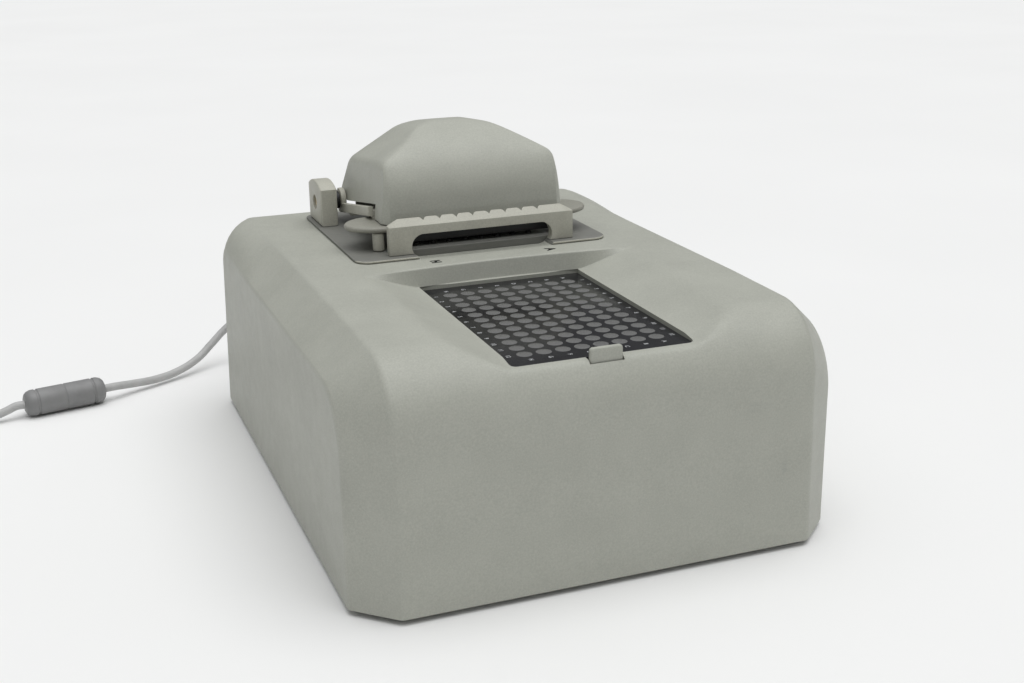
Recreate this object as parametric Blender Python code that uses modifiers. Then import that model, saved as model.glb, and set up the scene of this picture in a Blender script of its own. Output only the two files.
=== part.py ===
"""Eight-channel benchtop micro-volume spectrophotometer, as an assembly of separate pieces.

Metres, +Z up. The origin is on the table, under the centre of the housing. +X is to the
operator's right and +Y to the back. Each piece is one object; the hinged sampling arm, the
path-length plunger and the plate tab hang on empties that stand on their joint axes.
"""

import math

import bmesh
import bpy
from mathutils import Matrix, Vector

# Housing
HALF_WIDTH = 0.117        # side faces
EDGE_X = 0.0982           # where the side chamfer starts, top and front
HALF_DEPTH = 0.159
FOOT_HEIGHT = 0.003
DECK_Z = 0.114
SIDE_TOP_Z = 0.0984       # upper edge of the side faces
CHAMFER_Y = 0.0178        # side chamfer, measured along Y
WALL = 0.003
GAP = 0.0003              # between pieces that touch
FRONT_TOP_Y = -0.1572     # front face under the roll (the face has a little draft)
FRONT_ROLL = 0.030
CROWN_DROP = 0.0008       # the deck falls this much from CROWN_Y to the front roll
CROWN_Y = -0.080
BACK_ROLL = 0.014
BACK_TOP_Y = 0.145
SIDE_ROLL = (0.026, 0.030)          # front upper corner of the side faces: length, height
SIDE_CROWN_Y = -0.100
SIDE_BACK_ARC = (0.116, 0.088)      # centre of their back upper corner, as (y, z)
SIDE_BACK_Y = 0.1264                # where that corner ends
BULGE = 0.0036            # the side chamfer swells this much towards the back
BULGE_Y = (0.030, 0.115)
HOOD_EDGE = 0.0035        # bevel of the chamfer's edges
ROLL_STEPS = 8

# Well map and its trough
PITCH = 0.009             # between neighbouring wells, and between pedestals
CHANNELS = 8
PANEL_Z = 0.103           # upper face of the well map
PANEL_HALF_X = 0.0426
PANEL_FRONT_Y = -0.1455
PANEL_BACK_Y = -0.0185
PANEL_THICK = 0.0015
TROUGH_HALF_X = 0.0695
TROUGH_FLAT_X = 0.0433
TROUGH_FLOOR_Z = 0.1046
TROUGH_BACK_Y = -0.0150   # lip of the trough at the middle; it bows forward at its ends
TROUGH_LIP_BOW = 0.0050   # at TROUGH_BOW_X from the middle
TROUGH_BOW_X = 0.066
TROUGH_WALL_LEAN = 0.0015
TROUGH_SWEEP = 1.15       # exponent of the floor's rise beside the well map
TROUGH_RUN_OUT = ((-0.170, -0.0022), (-0.146, -0.0014), (-0.136, 0.0), (-0.060, 0.0))
TROUGH_BLOCK_LOW = (-0.0745, -0.158, 0.0965)    # thick part of the deck round the trough
TROUGH_BLOCK_HIGH = (0.0745, -0.0085, DECK_Z)
PANEL_CLEAR = 0.0005

# Retaining tab in front of the well map
TAB_X = -0.0012
TAB_HALF_X = 0.0077
TAB_FRONT_Y = -0.1502
TAB_THICK = 0.0024
TAB_TOP_Z = 0.1082
TAB_PIVOT_Z = 0.0996
TAB_TAIL_Z = 0.0880
TAB_PIN_RADIUS = 0.0010
TAB_PIN_END = 0.0024      # the pin stands out this much on each side
TAB_CLEAR = 0.0004
TAB_FRONT_CLEAR = 0.0007
TAB_SPRING_HALF_X = 0.004
TAB_SPRING_THICK = 0.0005
TAB_SPRING_SPACE = 0.0022 # room for the tail to swing

# Platform under the arm
PLATFORM_HALF_X = 0.0692
PLATFORM_FRONT_Y = 0.0005
PLATFORM_BACK_Y = 0.1210
PLATFORM_TOP_Z = 0.1154
PLATFORM_CORNER = 0.008

# Pipette guide bar
BAR_HALF_X = 0.0507
BAR_FACET_HALF_X = 0.0450
BAR_FRONT_Y = 0.0060
BAR_BACK_Y = 0.0105
BAR_FACE_TOP_Z = 0.1303
BAR_TOP_Z = 0.1340
SLOT_HALF_X = 0.0388
SLOT_RADIUS = 0.0064
SLOT_Z = 0.1193           # the lower edge of the slot cuts through the platform into the deck
NOTCH_RADIUS = 0.0014

# Measuring head
PEDESTAL_Y = 0.022
PEDESTAL_RADIUS = 0.0016
HEAD_HALF_X = 0.041
HEAD_FRONT_Y = 0.011
HEAD_BACK_Y = 0.032
HEAD_CLEAR = 0.0004
LOWER_BLOCK_BOTTOM_Z = 0.102
LOWER_BLOCK_TOP_Z = 0.1168
LOWER_TIP_Z = 0.1178
UPPER_TIP_Z = 0.1182
LOWER_PEDESTAL_FOOT_Z = 0.1045
UPPER_BLOCK_BOTTOM_Z = 0.1192
UPPER_BLOCK_Y = (0.0165, 0.0295)
STOP_LUG_X = (0.0495, 0.0555)
STOP_LUG_Y = (0.0175, 0.0240)

# Hinge and arm
HINGE_Y = 0.0995
HINGE_Z = 0.127
POST_INNER_X = 0.0575
POST_OUTER_X = 0.0670
POST_HALF_DEPTH = 0.0145
POST_CROWN = (0.0209, 0.0125)   # half length and height of the elliptical crown
PIN_RADIUS = 0.0028
PIN_X = (0.0500, 0.0660)
PIN_RECESS_X = 0.0650     # round recess in the outer side of each post
PIN_RECESS_RADIUS = 0.0042
BUSH_RADIUS = 0.0048
KNUCKLE_RADIUS = 0.0068
RAIL_INNER_X = 0.0502
RAIL_OUTER_X = 0.0532
RAIL_HEIGHT = 0.0052
RAIL_FRONT_Y = 0.036
RAIL_FRONT_Z = 0.1331
RAIL_BACK_Z = 0.1225
ARM_PLATE_BOTTOM_Z = 0.1255
ARM_PLATE_TOP_Z = 0.1285
EAR_TIP_X = 0.0675
EAR_FRONT_Y = 0.0160
EAR_BACK_Y = 0.0460
ARM_WAIST_X = 0.0480
WEB_INNER_X = 0.0430      # webs that join the rails to the plate
WEB_BACK_Y = 0.0402
WEB_Z = (0.1270, 0.1335)
CROSS_BAR_LOW = (-0.0515, 0.0850, 0.1202)
CROSS_BAR_HIGH = (0.0515, 0.0915, 0.1252)

# Arm cover: outlines seen from the front (half) and from the side, as (corner, rounding).
# They stand on a base that leans down to the back, so their heights are those at COVER_LEVEL_Y.
COVER_LEAN = 0.115
COVER_LEVEL_Y = 0.030
COVER_FRONT = (((0.0516, 0.118), 0.0), ((0.0470, 0.1590), 0.007), ((0.0205, 0.1757), 0.022),
               ((0.0080, 0.1788), 0.022), ((0.0, 0.1788), 0.0))
COVER_SIDE = (((0.0168, 0.118), 0.0), ((0.0194, 0.1565), 0.036), ((0.0400, 0.1722), 0.045),
              ((0.0600, 0.1791), 0.050), ((0.0885, 0.1775), 0.008), ((0.0950, 0.1595), 0.012),
              ((0.1115, 0.1409), 0.006), ((0.1135, 0.118), 0.0))
COVER_CORNERS = ((0.118, 0.0048), (0.159, 0.0012), (0.1765, 0.0012), (0.1788, 0.004))
COVER_RINGS = 16
COVER_WALL = 0.002
COVER_FRONT_EDGE_Z = 0.1292
COVER_STEP_Y = 0.0345     # behind it the edge clears the rails
COVER_STEP_Z = 0.1371
COVER_REAR_Y = 0.0930
COVER_BACK_EDGE_Z = 0.1276

# Path-length drive
PLUNGER_Y = 0.0405
PLUNGER_RADIUS = 0.0025
PLUNGER_TOP_Z = 0.1244
PLUNGER_FOOT_Z = 0.0990
PLUNGER_CLEAR = 0.0006
ACTUATOR_RADIUS = 0.0078
ACTUATOR_Z = (0.0760, 0.1085)
ACTUATOR_BORE_Z = 0.0970
ACTUATOR_CLEAR = 0.0004

# Underside: pan, its bosses for the board, and the feet
PAN_Z = (0.0034, 0.0056)
PAN_CLEAR = 0.0012
BOSS_PLACES = ((-0.085, -0.125), (0.055, -0.125), (-0.085, -0.045), (0.055, -0.045))
BOSS_Z = (0.0050, 0.0112)
BOSS_RADIUS = 0.003
FOOT_X = 0.090
FOOT_Y = (-0.132, 0.128)
FOOT_TOP_Z = 0.0031
FOOT_RADII = (0.0085, 0.0095)

# Inside: boxes by their corners, and the fibres' route
SPECTROMETER = ((-0.010, 0.055, 0.0062), (0.096, 0.122, 0.0520))
LAMP = ((-0.100, 0.030, 0.0062), (-0.050, 0.095, 0.0460))
BOARD = ((-0.092, -0.132, 0.0116), (0.062, -0.038, 0.0132))
FIBRE_ROUTE = ((0.020, 0.060, 0.0540), (0.020, 0.057, 0.0640), (0.018, 0.048, 0.0700),
               (0.016, 0.036, 0.0740), (0.010, 0.026, 0.0800), (0.003, 0.022, 0.0870),
               (0.000, 0.022, 0.0940), (0.000, 0.022, 0.1012))
FIBRE_RADIUS = 0.0035

# Rear sockets
SOCKET_Z = 0.030
USB_X = -0.080
INLET_X = -0.045
REAR_WINDOW = (-0.094, -0.028, 0.016, 0.046)   # x0, x1, z0, z1
REAR_PANEL_LAP = 0.004    # the rear panel is larger than its window by this much all round
REAR_PANEL_THICK = 0.0020
SOCKET_HALF = (0.0060, 0.0056)      # half width and height
SOCKET_MOUTH_HALF = (0.0044, 0.0040)
SOCKET_DEPTH = 0.0180
SOCKET_MOUTH_DEPTH = 0.0130
INLET_RADIUS = 0.0055
INLET_MOUTH_RADIUS = 0.0031
INLET_DEPTH = 0.0160
INLET_MOUTH_DEPTH = 0.0120
INLET_PIN_RADIUS = 0.0010
SOCKET_SUNK = 0.0005      # behind the outer surface

# Signal lead
CORD_RADIUS = 0.0024
PLUG_HALF = (0.0058, 0.0052)
PLUG_LENGTH = 0.020
PLUG_TONGUE_HALF = (0.0040, 0.0036)
PLUG_TONGUE_LENGTH = 0.0120
RELIEF_LENGTH = 0.020
RELIEF_RADII = (0.0044, 0.0030)
FERRITE_RADIUS = 0.008
FERRITE_RIGHT = (-0.1875, 0.172, 0.008)
FERRITE_LEFT = (-0.2340, 0.162, 0.008)
COIL_CENTRE = (-0.3080, 0.1265)
COIL_MEAN_RADIUS = 0.0280
COIL_HALF_WIDTH = 0.0074
COIL_HEIGHT = 0.0146
FAR_PLUG_FACE = (-0.3409, 0.0960)   # x, y where the coiled lead enters its far plug
FAR_PLUG_LENGTH = 0.026
FAR_PLUG_HALF_X = 0.008
FAR_PLUG_Z = (0.0002, 0.0086)
FAR_SHELL_LENGTH = 0.012
FAR_SHELL_HALF_X = 0.006
FAR_SHELL_Z = (0.0021, 0.0067)
LEAD_ROUTE = ((-0.0805, 0.2020, 0.0368), (-0.0845, 0.2110, 0.0355), (-0.0930, 0.2180, 0.0305),
              (-0.1045, 0.2185, 0.0225), (-0.1155, 0.2130, 0.0148), (-0.1260, 0.2050, 0.0088),
              (-0.1390, 0.1965, 0.0052), (-0.1540, 0.1880, 0.0044), (-0.1700, 0.1800, 0.0060))
TAIL_ROUTE = ((-0.2440, 0.1597, 0.0064), (-0.2550, 0.1576, 0.0038), (-0.2660, 0.1562, 0.0029),
              (-0.2760, 0.1556, 0.0028), (-0.2838, 0.1553, 0.0028))

PARTS = "spectrophotometer"
CUTTERS = "cutters"


# Scene and materials

def clear_scene():
    for obj in list(bpy.data.objects):
        bpy.data.objects.remove(obj, do_unlink=True)


def make_collection(name):
    collection = bpy.data.collections.new(name)
    bpy.context.scene.collection.children.link(collection)
    return collection


def make_material(name, colour, roughness, metallic=0.0):
    material = bpy.data.materials.new(name)
    material.use_nodes = True
    shader = material.node_tree.nodes["Principled BSDF"]
    shader.inputs["Base Color"].default_value = (*colour, 1.0)
    shader.inputs["Roughness"].default_value = roughness
    shader.inputs["Metallic"].default_value = metallic
    return material


# Making objects

def add(name, mesh, material, location=(0, 0, 0), parent=None):
    """Links a finished mesh as one named piece; a cutter is given no material."""
    obj = bpy.data.objects.new(name, mesh)
    home = PARTS if material else CUTTERS
    bpy.data.collections[home].objects.link(obj)
    obj.location = location
    if material:
        mesh.materials.append(material)
    else:
        obj.hide_render = True
        obj.display_type = "WIRE"
    if parent:
        obj.parent = parent
        obj.matrix_parent_inverse = Matrix.Translation(-parent.location)
    return obj


def mesh_of(builder):
    mesh = bpy.data.meshes.new("mesh")
    bmesh.ops.recalc_face_normals(builder, faces=builder.faces)
    builder.to_mesh(mesh)
    builder.free()
    return mesh


def box(name, low, high, material=None, parent=None, rounding=0.0):
    """A box between two corners, its origin at its middle."""
    low, high = Vector(low), Vector(high)
    builder = bmesh.new()
    bmesh.ops.create_cube(builder, size=1.0)
    bmesh.ops.scale(builder, vec=high - low, verts=builder.verts)
    obj = add(name, mesh_of(builder), material, (low + high) / 2, parent)
    if rounding:
        bevel(obj, rounding)
    return obj


def cylinder(name, start, end, radius, material=None, parent=None, end_radius=None, sides=24):
    """A cylinder or a cone from one point to another."""
    start, end = Vector(start), Vector(end)
    builder = bmesh.new()
    bmesh.ops.create_cone(builder, cap_ends=True, segments=sides, radius1=radius,
                          radius2=radius if end_radius is None else end_radius,
                          depth=(end - start).length)
    turn = Vector((0, 0, 1)).rotation_difference(end - start).to_matrix()
    bmesh.ops.rotate(builder, matrix=turn, verts=builder.verts)
    obj = add(name, mesh_of(builder), material, (start + end) / 2, parent)
    smooth(obj)
    return obj


def plate(name, outline, low, high, axis="z", material=None, parent=None):
    """A flat outline given thickness. Across z the outline is (x, y), and across x it is (y, z)."""
    curve = bpy.data.curves.new(name, "CURVE")
    curve.dimensions = "2D"
    curve.fill_mode = "BOTH"
    curve.extrude = (high - low) / 2
    spline = curve.splines.new("POLY")
    spline.points.add(len(outline) - 1)
    for point, (across, up) in zip(spline.points, outline):
        point.co = (across, up, 0.0, 1.0)
    spline.use_cyclic_u = True
    source = bpy.data.objects.new(name + "_outline", curve)
    bpy.context.scene.collection.objects.link(source)
    graph = bpy.context.evaluated_depsgraph_get()
    builder = bmesh.new()
    builder.from_mesh(bpy.data.meshes.new_from_object(source.evaluated_get(graph)))
    bpy.data.objects.remove(source, do_unlink=True)
    bmesh.ops.remove_doubles(builder, verts=builder.verts, dist=1e-6)
    middle = (low + high) / 2
    if axis == "x":
        turn = Matrix(((0, 0, 1), (1, 0, 0), (0, 1, 0)))
        bmesh.ops.rotate(builder, matrix=turn, verts=builder.verts)
        location = (middle, 0, 0)
    else:
        location = (0, 0, middle)
    return add(name, mesh_of(builder), material, location, parent)


def loft(name, rings, material=None, parent=None, closed_ends=True):
    """A skin through rings that hold the same number of points, in order."""
    builder = bmesh.new()
    rows = [[builder.verts.new(point) for point in ring] for ring in rings]
    for row, after in zip(rows, rows[1:]):
        for i in range(len(row)):
            j = (i + 1) % len(row)
            builder.faces.new((row[i], row[j], after[j], after[i]))
    if closed_ends:
        builder.faces.new(rows[0])
    builder.faces.new(rows[-1])
    return add(name, mesh_of(builder), material, parent=parent)


def tube(name, points, radius, material, resolution=2):
    """A round cord along points."""
    curve = bpy.data.curves.new(name, "CURVE")
    curve.dimensions = "3D"
    curve.bevel_depth = radius
    curve.bevel_resolution = resolution
    curve.use_fill_caps = True
    spline = curve.splines.new("POLY")
    spline.points.add(len(points) - 1)
    for point, place in zip(spline.points, points):
        point.co = (*place, 1.0)
    obj = bpy.data.objects.new(name, curve)
    bpy.data.collections[PARTS].objects.link(obj)
    curve.materials.append(material)
    return obj


def ring(name, centre, mean_radius, half_width, height, material, steps=36):
    """A turned ring standing on the table, from a profile that goes once round."""
    profile = ((half_width, height - half_width * 0.6), (half_width, half_width * 0.6),
               (half_width * 0.6, 0.0), (-half_width * 0.6, 0.0),
               (-half_width, half_width * 0.6), (-half_width, height - half_width * 0.6),
               (-half_width * 0.6, height), (half_width * 0.6, height))
    rings = []
    for step in range(steps):
        angle = math.tau * step / steps
        rings.append([(math.cos(angle) * (mean_radius + across),
                       math.sin(angle) * (mean_radius + across), up) for across, up in profile])
    builder = bmesh.new()
    rows = [[builder.verts.new(point) for point in row] for row in rings]
    for row, after in zip(rows, rows[1:] + rows[:1]):
        for i in range(len(row)):
            j = (i + 1) % len(row)
            builder.faces.new((row[i], row[j], after[j], after[i]))
    obj = add(name, mesh_of(builder), material, (*centre, 0.0002))
    smooth(obj)
    return obj


def smooth(obj, angle=35.0):
    obj.data.shade_smooth()
    obj.data.set_sharp_from_angle(angle=math.radians(angle))


def bevel(obj, width, segments=2, angle=35.0):
    modifier = obj.modifiers.new("rounded", "BEVEL")
    modifier.width = width
    modifier.segments = segments
    modifier.limit_method = "ANGLE"
    modifier.angle_limit = math.radians(angle)
    modifier.use_clamp_overlap = True


def boolean(obj, other, operation="DIFFERENCE"):
    modifier = obj.modifiers.new(operation.lower(), "BOOLEAN")
    modifier.operation = operation
    modifier.solver = "EXACT"
    modifier.object = other


def joint_axis(name, location):
    empty = bpy.data.objects.new(name, None)
    bpy.data.collections[PARTS].objects.link(empty)
    empty.location = location
    return empty


# Outlines

def arc(centre, radii, start, end, steps):
    """Points of an elliptical arc, angles in degrees."""
    points = []
    for step in range(steps + 1):
        angle = math.radians(start + (end - start) * step / steps)
        points.append((centre[0] + radii[0] * math.cos(angle),
                       centre[1] + radii[1] * math.sin(angle)))
    return points


def rounded(corners, steps=4):
    """An open line through corners, each given as ((a, b), radius), with its corners rounded."""
    points = [corners[0][0]]
    for (before, _), (corner, radius), (after, _) in zip(corners, corners[1:], corners[2:]):
        corner = Vector(corner)
        back = (Vector(before) - corner).normalized()
        ahead = (Vector(after) - corner).normalized()
        half = back.angle(ahead) / 2
        cut = radius / math.tan(half)
        centre = corner + (back + ahead).normalized() * radius / math.sin(half)
        first = corner + back * cut - centre
        sweep = first.angle_signed(corner + ahead * cut - centre)
        for step in range(steps + 1):
            turned = first.copy()
            turned.rotate(Matrix.Rotation(-sweep * step / steps, 2))
            points.append(tuple(centre + turned))
    return points + [corners[-1][0]]


def rounded_rectangle(x0, x1, y0, y1, radius, steps=5):
    """Points round a rectangle with round corners, anticlockwise from its right front corner."""
    points = []
    for x, y, start in ((x1 - radius, y0 + radius, -90), (x1 - radius, y1 - radius, 0),
                        (x0 + radius, y1 - radius, 90), (x0 + radius, y0 + radius, 180)):
        points += arc((x, y), (radius, radius), start, start + 90, steps)
    return points


def smooth_route(controls, per_span=3):
    """A Catmull-Rom curve through the control points."""
    ends = [Vector(controls[0]) * 2 - Vector(controls[1])]
    ends += [Vector(point) for point in controls]
    ends.append(Vector(controls[-1]) * 2 - Vector(controls[-2]))
    points = []
    for p0, p1, p2, p3 in zip(ends, ends[1:], ends[2:], ends[3:]):
        for step in range(per_span):
            t = step / per_span
            points.append(0.5 * (2 * p1 + (p2 - p0) * t + (2 * p0 - 5 * p1 + 4 * p2 - p3) * t ** 2
                                 + (3 * p1 - p0 - 3 * p2 + p3) * t ** 3))
    return points + [Vector(controls[-1])]


# Housing

def housing_profile(inset, side):
    """The housing seen from the side, as (y, z), from the bottom of the front to that of the back.

    side is False for the full section between the chamfers, and True for the side face. An inset
    housing is the cavity inside, which is open below and keeps clear of the draft of the walls.
    """
    front, back = -HALF_DEPTH + inset, HALF_DEPTH - inset
    bottom = -0.02 if inset else FOOT_HEIGHT
    if side:
        front += CHAMFER_Y
        back -= CHAMFER_Y
        top, crown_y = SIDE_TOP_Z - inset, SIDE_CROWN_Y
        roll_radii = (SIDE_ROLL[0] - inset, SIDE_ROLL[1] - inset)
        roll_centre = (front + roll_radii[0], top - roll_radii[1])
        back_centre = SIDE_BACK_ARC
        back_radii = (SIDE_BACK_Y - inset - back_centre[0], top - back_centre[1])
    else:
        top, crown_y = DECK_Z - inset, CROWN_Y
        roll_radii = (FRONT_ROLL - inset, FRONT_ROLL - inset)
        roll_centre = (FRONT_TOP_Y + FRONT_ROLL, DECK_Z - CROWN_DROP - FRONT_ROLL)
        back_centre = (BACK_TOP_Y - BACK_ROLL, DECK_Z - BACK_ROLL)
        back_radii = (BACK_ROLL - inset, BACK_ROLL - inset)
    if inset:
        front -= GAP
        back += 0.0034
    line = [(front, bottom)]
    line += arc(roll_centre, roll_radii, 180, 90, ROLL_STEPS)
    line.append((crown_y, top))
    line += arc(back_centre, back_radii, 90, 0, ROLL_STEPS)
    line.append((back, bottom))
    return line


def housing_rings(inset=0.0):
    """Sections from the left side face to the right one, with three across each chamfer."""
    half = [(EDGE_X - inset * 0.42, housing_profile(inset, False))]
    side_x, side_line = HALF_WIDTH - inset, housing_profile(inset, True)
    edge_x, edge_line = half[0]
    out = Vector((DECK_Z - SIDE_TOP_Z, HALF_WIDTH - EDGE_X)).normalized()
    for share in (0.25, 0.5, 0.75):
        swell = BULGE * 4 * share * (1 - share)
        x = edge_x + (side_x - edge_x) * share
        line = []
        for edge, face in zip(edge_line, side_line):
            y, z = Vector(edge).lerp(Vector(face), share)
            rise = min(1.0, max(0.0, (y - BULGE_Y[0]) / (BULGE_Y[1] - BULGE_Y[0])))
            rise *= rise * (3 - 2 * rise) * min(1.0, max(0.0, z / SIDE_BACK_ARC[1]))
            line.append((x + swell * out.x * rise, y, z + swell * out.y * rise))
        half.append((x, line))
    half.append((side_x, side_line))
    rings = []
    for x, line in half:
        rings.append([point if len(point) == 3 else (x, *point) for point in line])
    mirrored = [[(-x, y, z) for x, y, z in ring] for ring in reversed(rings)]
    return mirrored + rings


def trough_cutter():
    """The shallow basin round the well map: flat beside it, then sweeping up to the deck."""
    steps = 20
    stations = [-TROUGH_HALF_X + 2 * TROUGH_HALF_X * i / steps for i in range(steps + 1)]
    stations += [-TROUGH_FLAT_X, TROUGH_FLAT_X]
    rows = []
    above = DECK_Z + 0.01
    for x in sorted(stations):
        out = max(0.0, abs(x) - TROUGH_FLAT_X) / (TROUGH_HALF_X - TROUGH_FLAT_X)
        floor = TROUGH_FLOOR_Z + (DECK_Z + 0.0002 - TROUGH_FLOOR_Z) * out ** TROUGH_SWEEP
        lip = TROUGH_BACK_Y - TROUGH_LIP_BOW * (x / TROUGH_BOW_X) ** 2
        line = [(x, y, floor + drop * (1.0 - out)) for y, drop in TROUGH_RUN_OUT]
        line.append((x, lip - TROUGH_WALL_LEAN * (1.0 - out), floor))
        line.append((x, lip, above))
        line.append((x, TROUGH_RUN_OUT[0][0], above))
        rows.append(line)
    return loft("trough_cutter", rows)


def head_cutter(name):
    """The opening in the deck and the platform for the lower block."""
    return box(name, (-HEAD_HALF_X - HEAD_CLEAR, HEAD_FRONT_Y - HEAD_CLEAR, DECK_Z - 0.009),
               (HEAD_HALF_X + HEAD_CLEAR, HEAD_BACK_Y + HEAD_CLEAR, DECK_Z + 0.006))


def plunger_cutter(name):
    return cylinder(name, (0, PLUNGER_Y, DECK_Z - 0.009), (0, PLUNGER_Y, DECK_Z + 0.006),
                    PLUNGER_RADIUS + PLUNGER_CLEAR)


def make_housing(mats):
    hood = loft("hood_shell", housing_rings(), mats["putty"])
    bevel(hood, HOOD_EDGE, segments=3, angle=24.0)
    cavity = loft("hood_cavity", housing_rings(WALL))
    boolean(cavity, box("trough_block", TROUGH_BLOCK_LOW, TROUGH_BLOCK_HIGH))
    boolean(hood, cavity)
    boolean(hood, trough_cutter())
    boolean(hood, box("panel_recess", (-PANEL_HALF_X - PANEL_CLEAR, PANEL_FRONT_Y - PANEL_CLEAR,
                                       PANEL_Z - PANEL_THICK - GAP),
                      (PANEL_HALF_X + PANEL_CLEAR, PANEL_BACK_Y + PANEL_CLEAR, DECK_Z + 0.01)))
    left, right = TAB_X - TAB_HALF_X - TAB_CLEAR, TAB_X + TAB_HALF_X + TAB_CLEAR
    boolean(hood, box("tab_slot", (left, TAB_FRONT_Y - TAB_FRONT_CLEAR, 0.080),
                      (right, PANEL_FRONT_Y, DECK_Z)))
    tab_y = TAB_FRONT_Y + TAB_THICK / 2
    seat = TAB_PIN_END + 0.0002
    boolean(hood, cylinder("tab_pin_seat", (left - seat, tab_y, TAB_PIVOT_Z),
                           (right + seat, tab_y, TAB_PIVOT_Z), TAB_PIN_RADIUS, sides=16))
    boolean(hood, head_cutter("head_well"))
    boolean(hood, plunger_cutter("plunger_hole"))
    boolean(hood, slot_cutter("deck_slot", PLATFORM_FRONT_Y, HEAD_FRONT_Y))
    x0, x1, z0, z1 = REAR_WINDOW
    boolean(hood, box("rear_window", (x0, 0.130, z0), (x1, 0.175, z1)))
    smooth(hood, 24.0)


def make_base(mats):
    inner = HALF_WIDTH - WALL - 0.0008
    edge = EDGE_X - 0.0022
    front, back = -HALF_DEPTH + WALL + PAN_CLEAR, HALF_DEPTH - WALL - PAN_CLEAR - GAP
    cut = CHAMFER_Y - 0.0002
    outline = [(-edge, front), (edge, front), (inner, front + cut), (inner, back - cut),
               (edge, back), (-edge, back), (-inner, back - cut), (-inner, front + cut)]
    pan = plate("base_pan", outline, *PAN_Z, material=mats["steel"])
    for i, (x, y) in enumerate(BOSS_PLACES):
        boolean(pan, cylinder(f"boss_{i}", (x, y, BOSS_Z[0]), (x, y, BOSS_Z[1]), BOSS_RADIUS,
                              sides=12), "UNION")
    for side, x in (("left", -FOOT_X), ("right", FOOT_X)):
        for end, y in zip(("front", "back"), FOOT_Y):
            foot = cylinder(f"foot_{end}_{side}", (x, y, 0.0), (x, y, FOOT_TOP_Z), FOOT_RADII[0],
                            mats["rubber"], end_radius=FOOT_RADII[1])
            bevel(foot, 0.0006, segments=1)


def make_well_map(mats):
    outline = rounded_rectangle(-PANEL_HALF_X, PANEL_HALF_X, PANEL_FRONT_Y, PANEL_BACK_Y,
                                0.0012, steps=3)
    plate("well_map_panel", outline, PANEL_Z - PANEL_THICK, PANEL_Z, material=mats["gloss_black"])


def make_tab(mats):
    """The sprung tab that holds a plate on the well map; it tilts forward on a pin."""
    back_y = TAB_FRONT_Y + TAB_THICK
    middle_y = (TAB_FRONT_Y + back_y) / 2
    axis = joint_axis("tab_axis", (TAB_X, middle_y, TAB_PIVOT_Z))
    left, right = TAB_X - TAB_HALF_X, TAB_X + TAB_HALF_X
    edge = 0.0010
    outline = [(TAB_FRONT_Y, TAB_TAIL_Z), (back_y, TAB_TAIL_Z)]
    outline += arc((back_y - edge, TAB_TOP_Z - edge), (edge, edge), 0, 90, 3)
    outline += arc((TAB_FRONT_Y + edge, TAB_TOP_Z - edge), (edge, edge), 90, 180, 3)
    tab = plate("retaining_tab", outline, left, right, "x", mats["putty"], axis)
    boolean(tab, cylinder("tab_bore", (left - 0.002, middle_y, TAB_PIVOT_Z),
                          (right + 0.002, middle_y, TAB_PIVOT_Z), TAB_PIN_RADIUS, sides=16))
    cylinder("tab_pin", (left - TAB_PIN_END, middle_y, TAB_PIVOT_Z),
             (right + TAB_PIN_END, middle_y, TAB_PIVOT_Z), TAB_PIN_RADIUS - GAP, mats["brass"],
             sides=16)
    spring_y = back_y + TAB_SPRING_SPACE
    box("tab_spring", (TAB_X - TAB_SPRING_HALF_X, spring_y, TAB_TAIL_Z + 0.0006),
        (TAB_X + TAB_SPRING_HALF_X, spring_y + TAB_SPRING_THICK, TROUGH_BLOCK_LOW[2] - GAP),
        mats["steel"])


# Platform, guide bar and measuring head

def slot_outline():
    """The round-ended slot in the front of the bar, as (x, z)."""
    end = SLOT_HALF_X - SLOT_RADIUS
    radii = (SLOT_RADIUS, SLOT_RADIUS)
    return arc((end, SLOT_Z), radii, -90, 90, 8) + arc((-end, SLOT_Z), radii, 90, 270, 8)


def slot_cutter(name, front, back):
    rings = [[(x, y, z) for x, z in slot_outline()] for y in (front, back)]
    return loft(name, rings)


def make_platform(mats):
    outline = rounded_rectangle(-PLATFORM_HALF_X, PLATFORM_HALF_X, PLATFORM_FRONT_Y,
                                PLATFORM_BACK_Y, PLATFORM_CORNER)
    platform = plate("platform_plate", outline, DECK_Z + GAP, PLATFORM_TOP_Z,
                     material=mats["grey_plate"])
    bevel(platform, 0.0006, segments=2, angle=50.0)
    boolean(platform, head_cutter("head_opening"))
    boolean(platform, slot_cutter("rim_slot", PLATFORM_FRONT_Y - 0.002, HEAD_FRONT_Y))
    boolean(platform, plunger_cutter("plunger_clearance"))


def make_guide_bar(mats):
    """The fixed bar in front of the head; its eight notches lead a pipette to the pedestals."""
    bottom = PLATFORM_TOP_Z + GAP
    rings = []
    for x, top in ((-BAR_HALF_X, BAR_FACE_TOP_Z + 0.0003), (-BAR_FACET_HALF_X, BAR_TOP_Z),
                   (BAR_FACET_HALF_X, BAR_TOP_Z), (BAR_HALF_X, BAR_FACE_TOP_Z + 0.0003)):
        rings.append([(x, BAR_FRONT_Y, bottom), (x, BAR_FRONT_Y, BAR_FACE_TOP_Z),
                      (x, BAR_BACK_Y, top), (x, BAR_BACK_Y, bottom)])
    bar = loft("pipette_guide_bar", rings, mats["putty"])
    bevel(bar, 0.0006, segments=2)
    boolean(bar, slot_cutter("bar_slot", BAR_FRONT_Y - 0.004, BAR_BACK_Y + 0.004))
    for channel in range(CHANNELS):
        x = (channel - (CHANNELS - 1) / 2) * PITCH
        boolean(bar, cylinder(f"notch_{channel}", (x, BAR_BACK_Y + 0.0004, 0.1285),
                              (x, BAR_BACK_Y + 0.0004, BAR_TOP_Z + 0.004), NOTCH_RADIUS,
                              sides=12))


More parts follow.
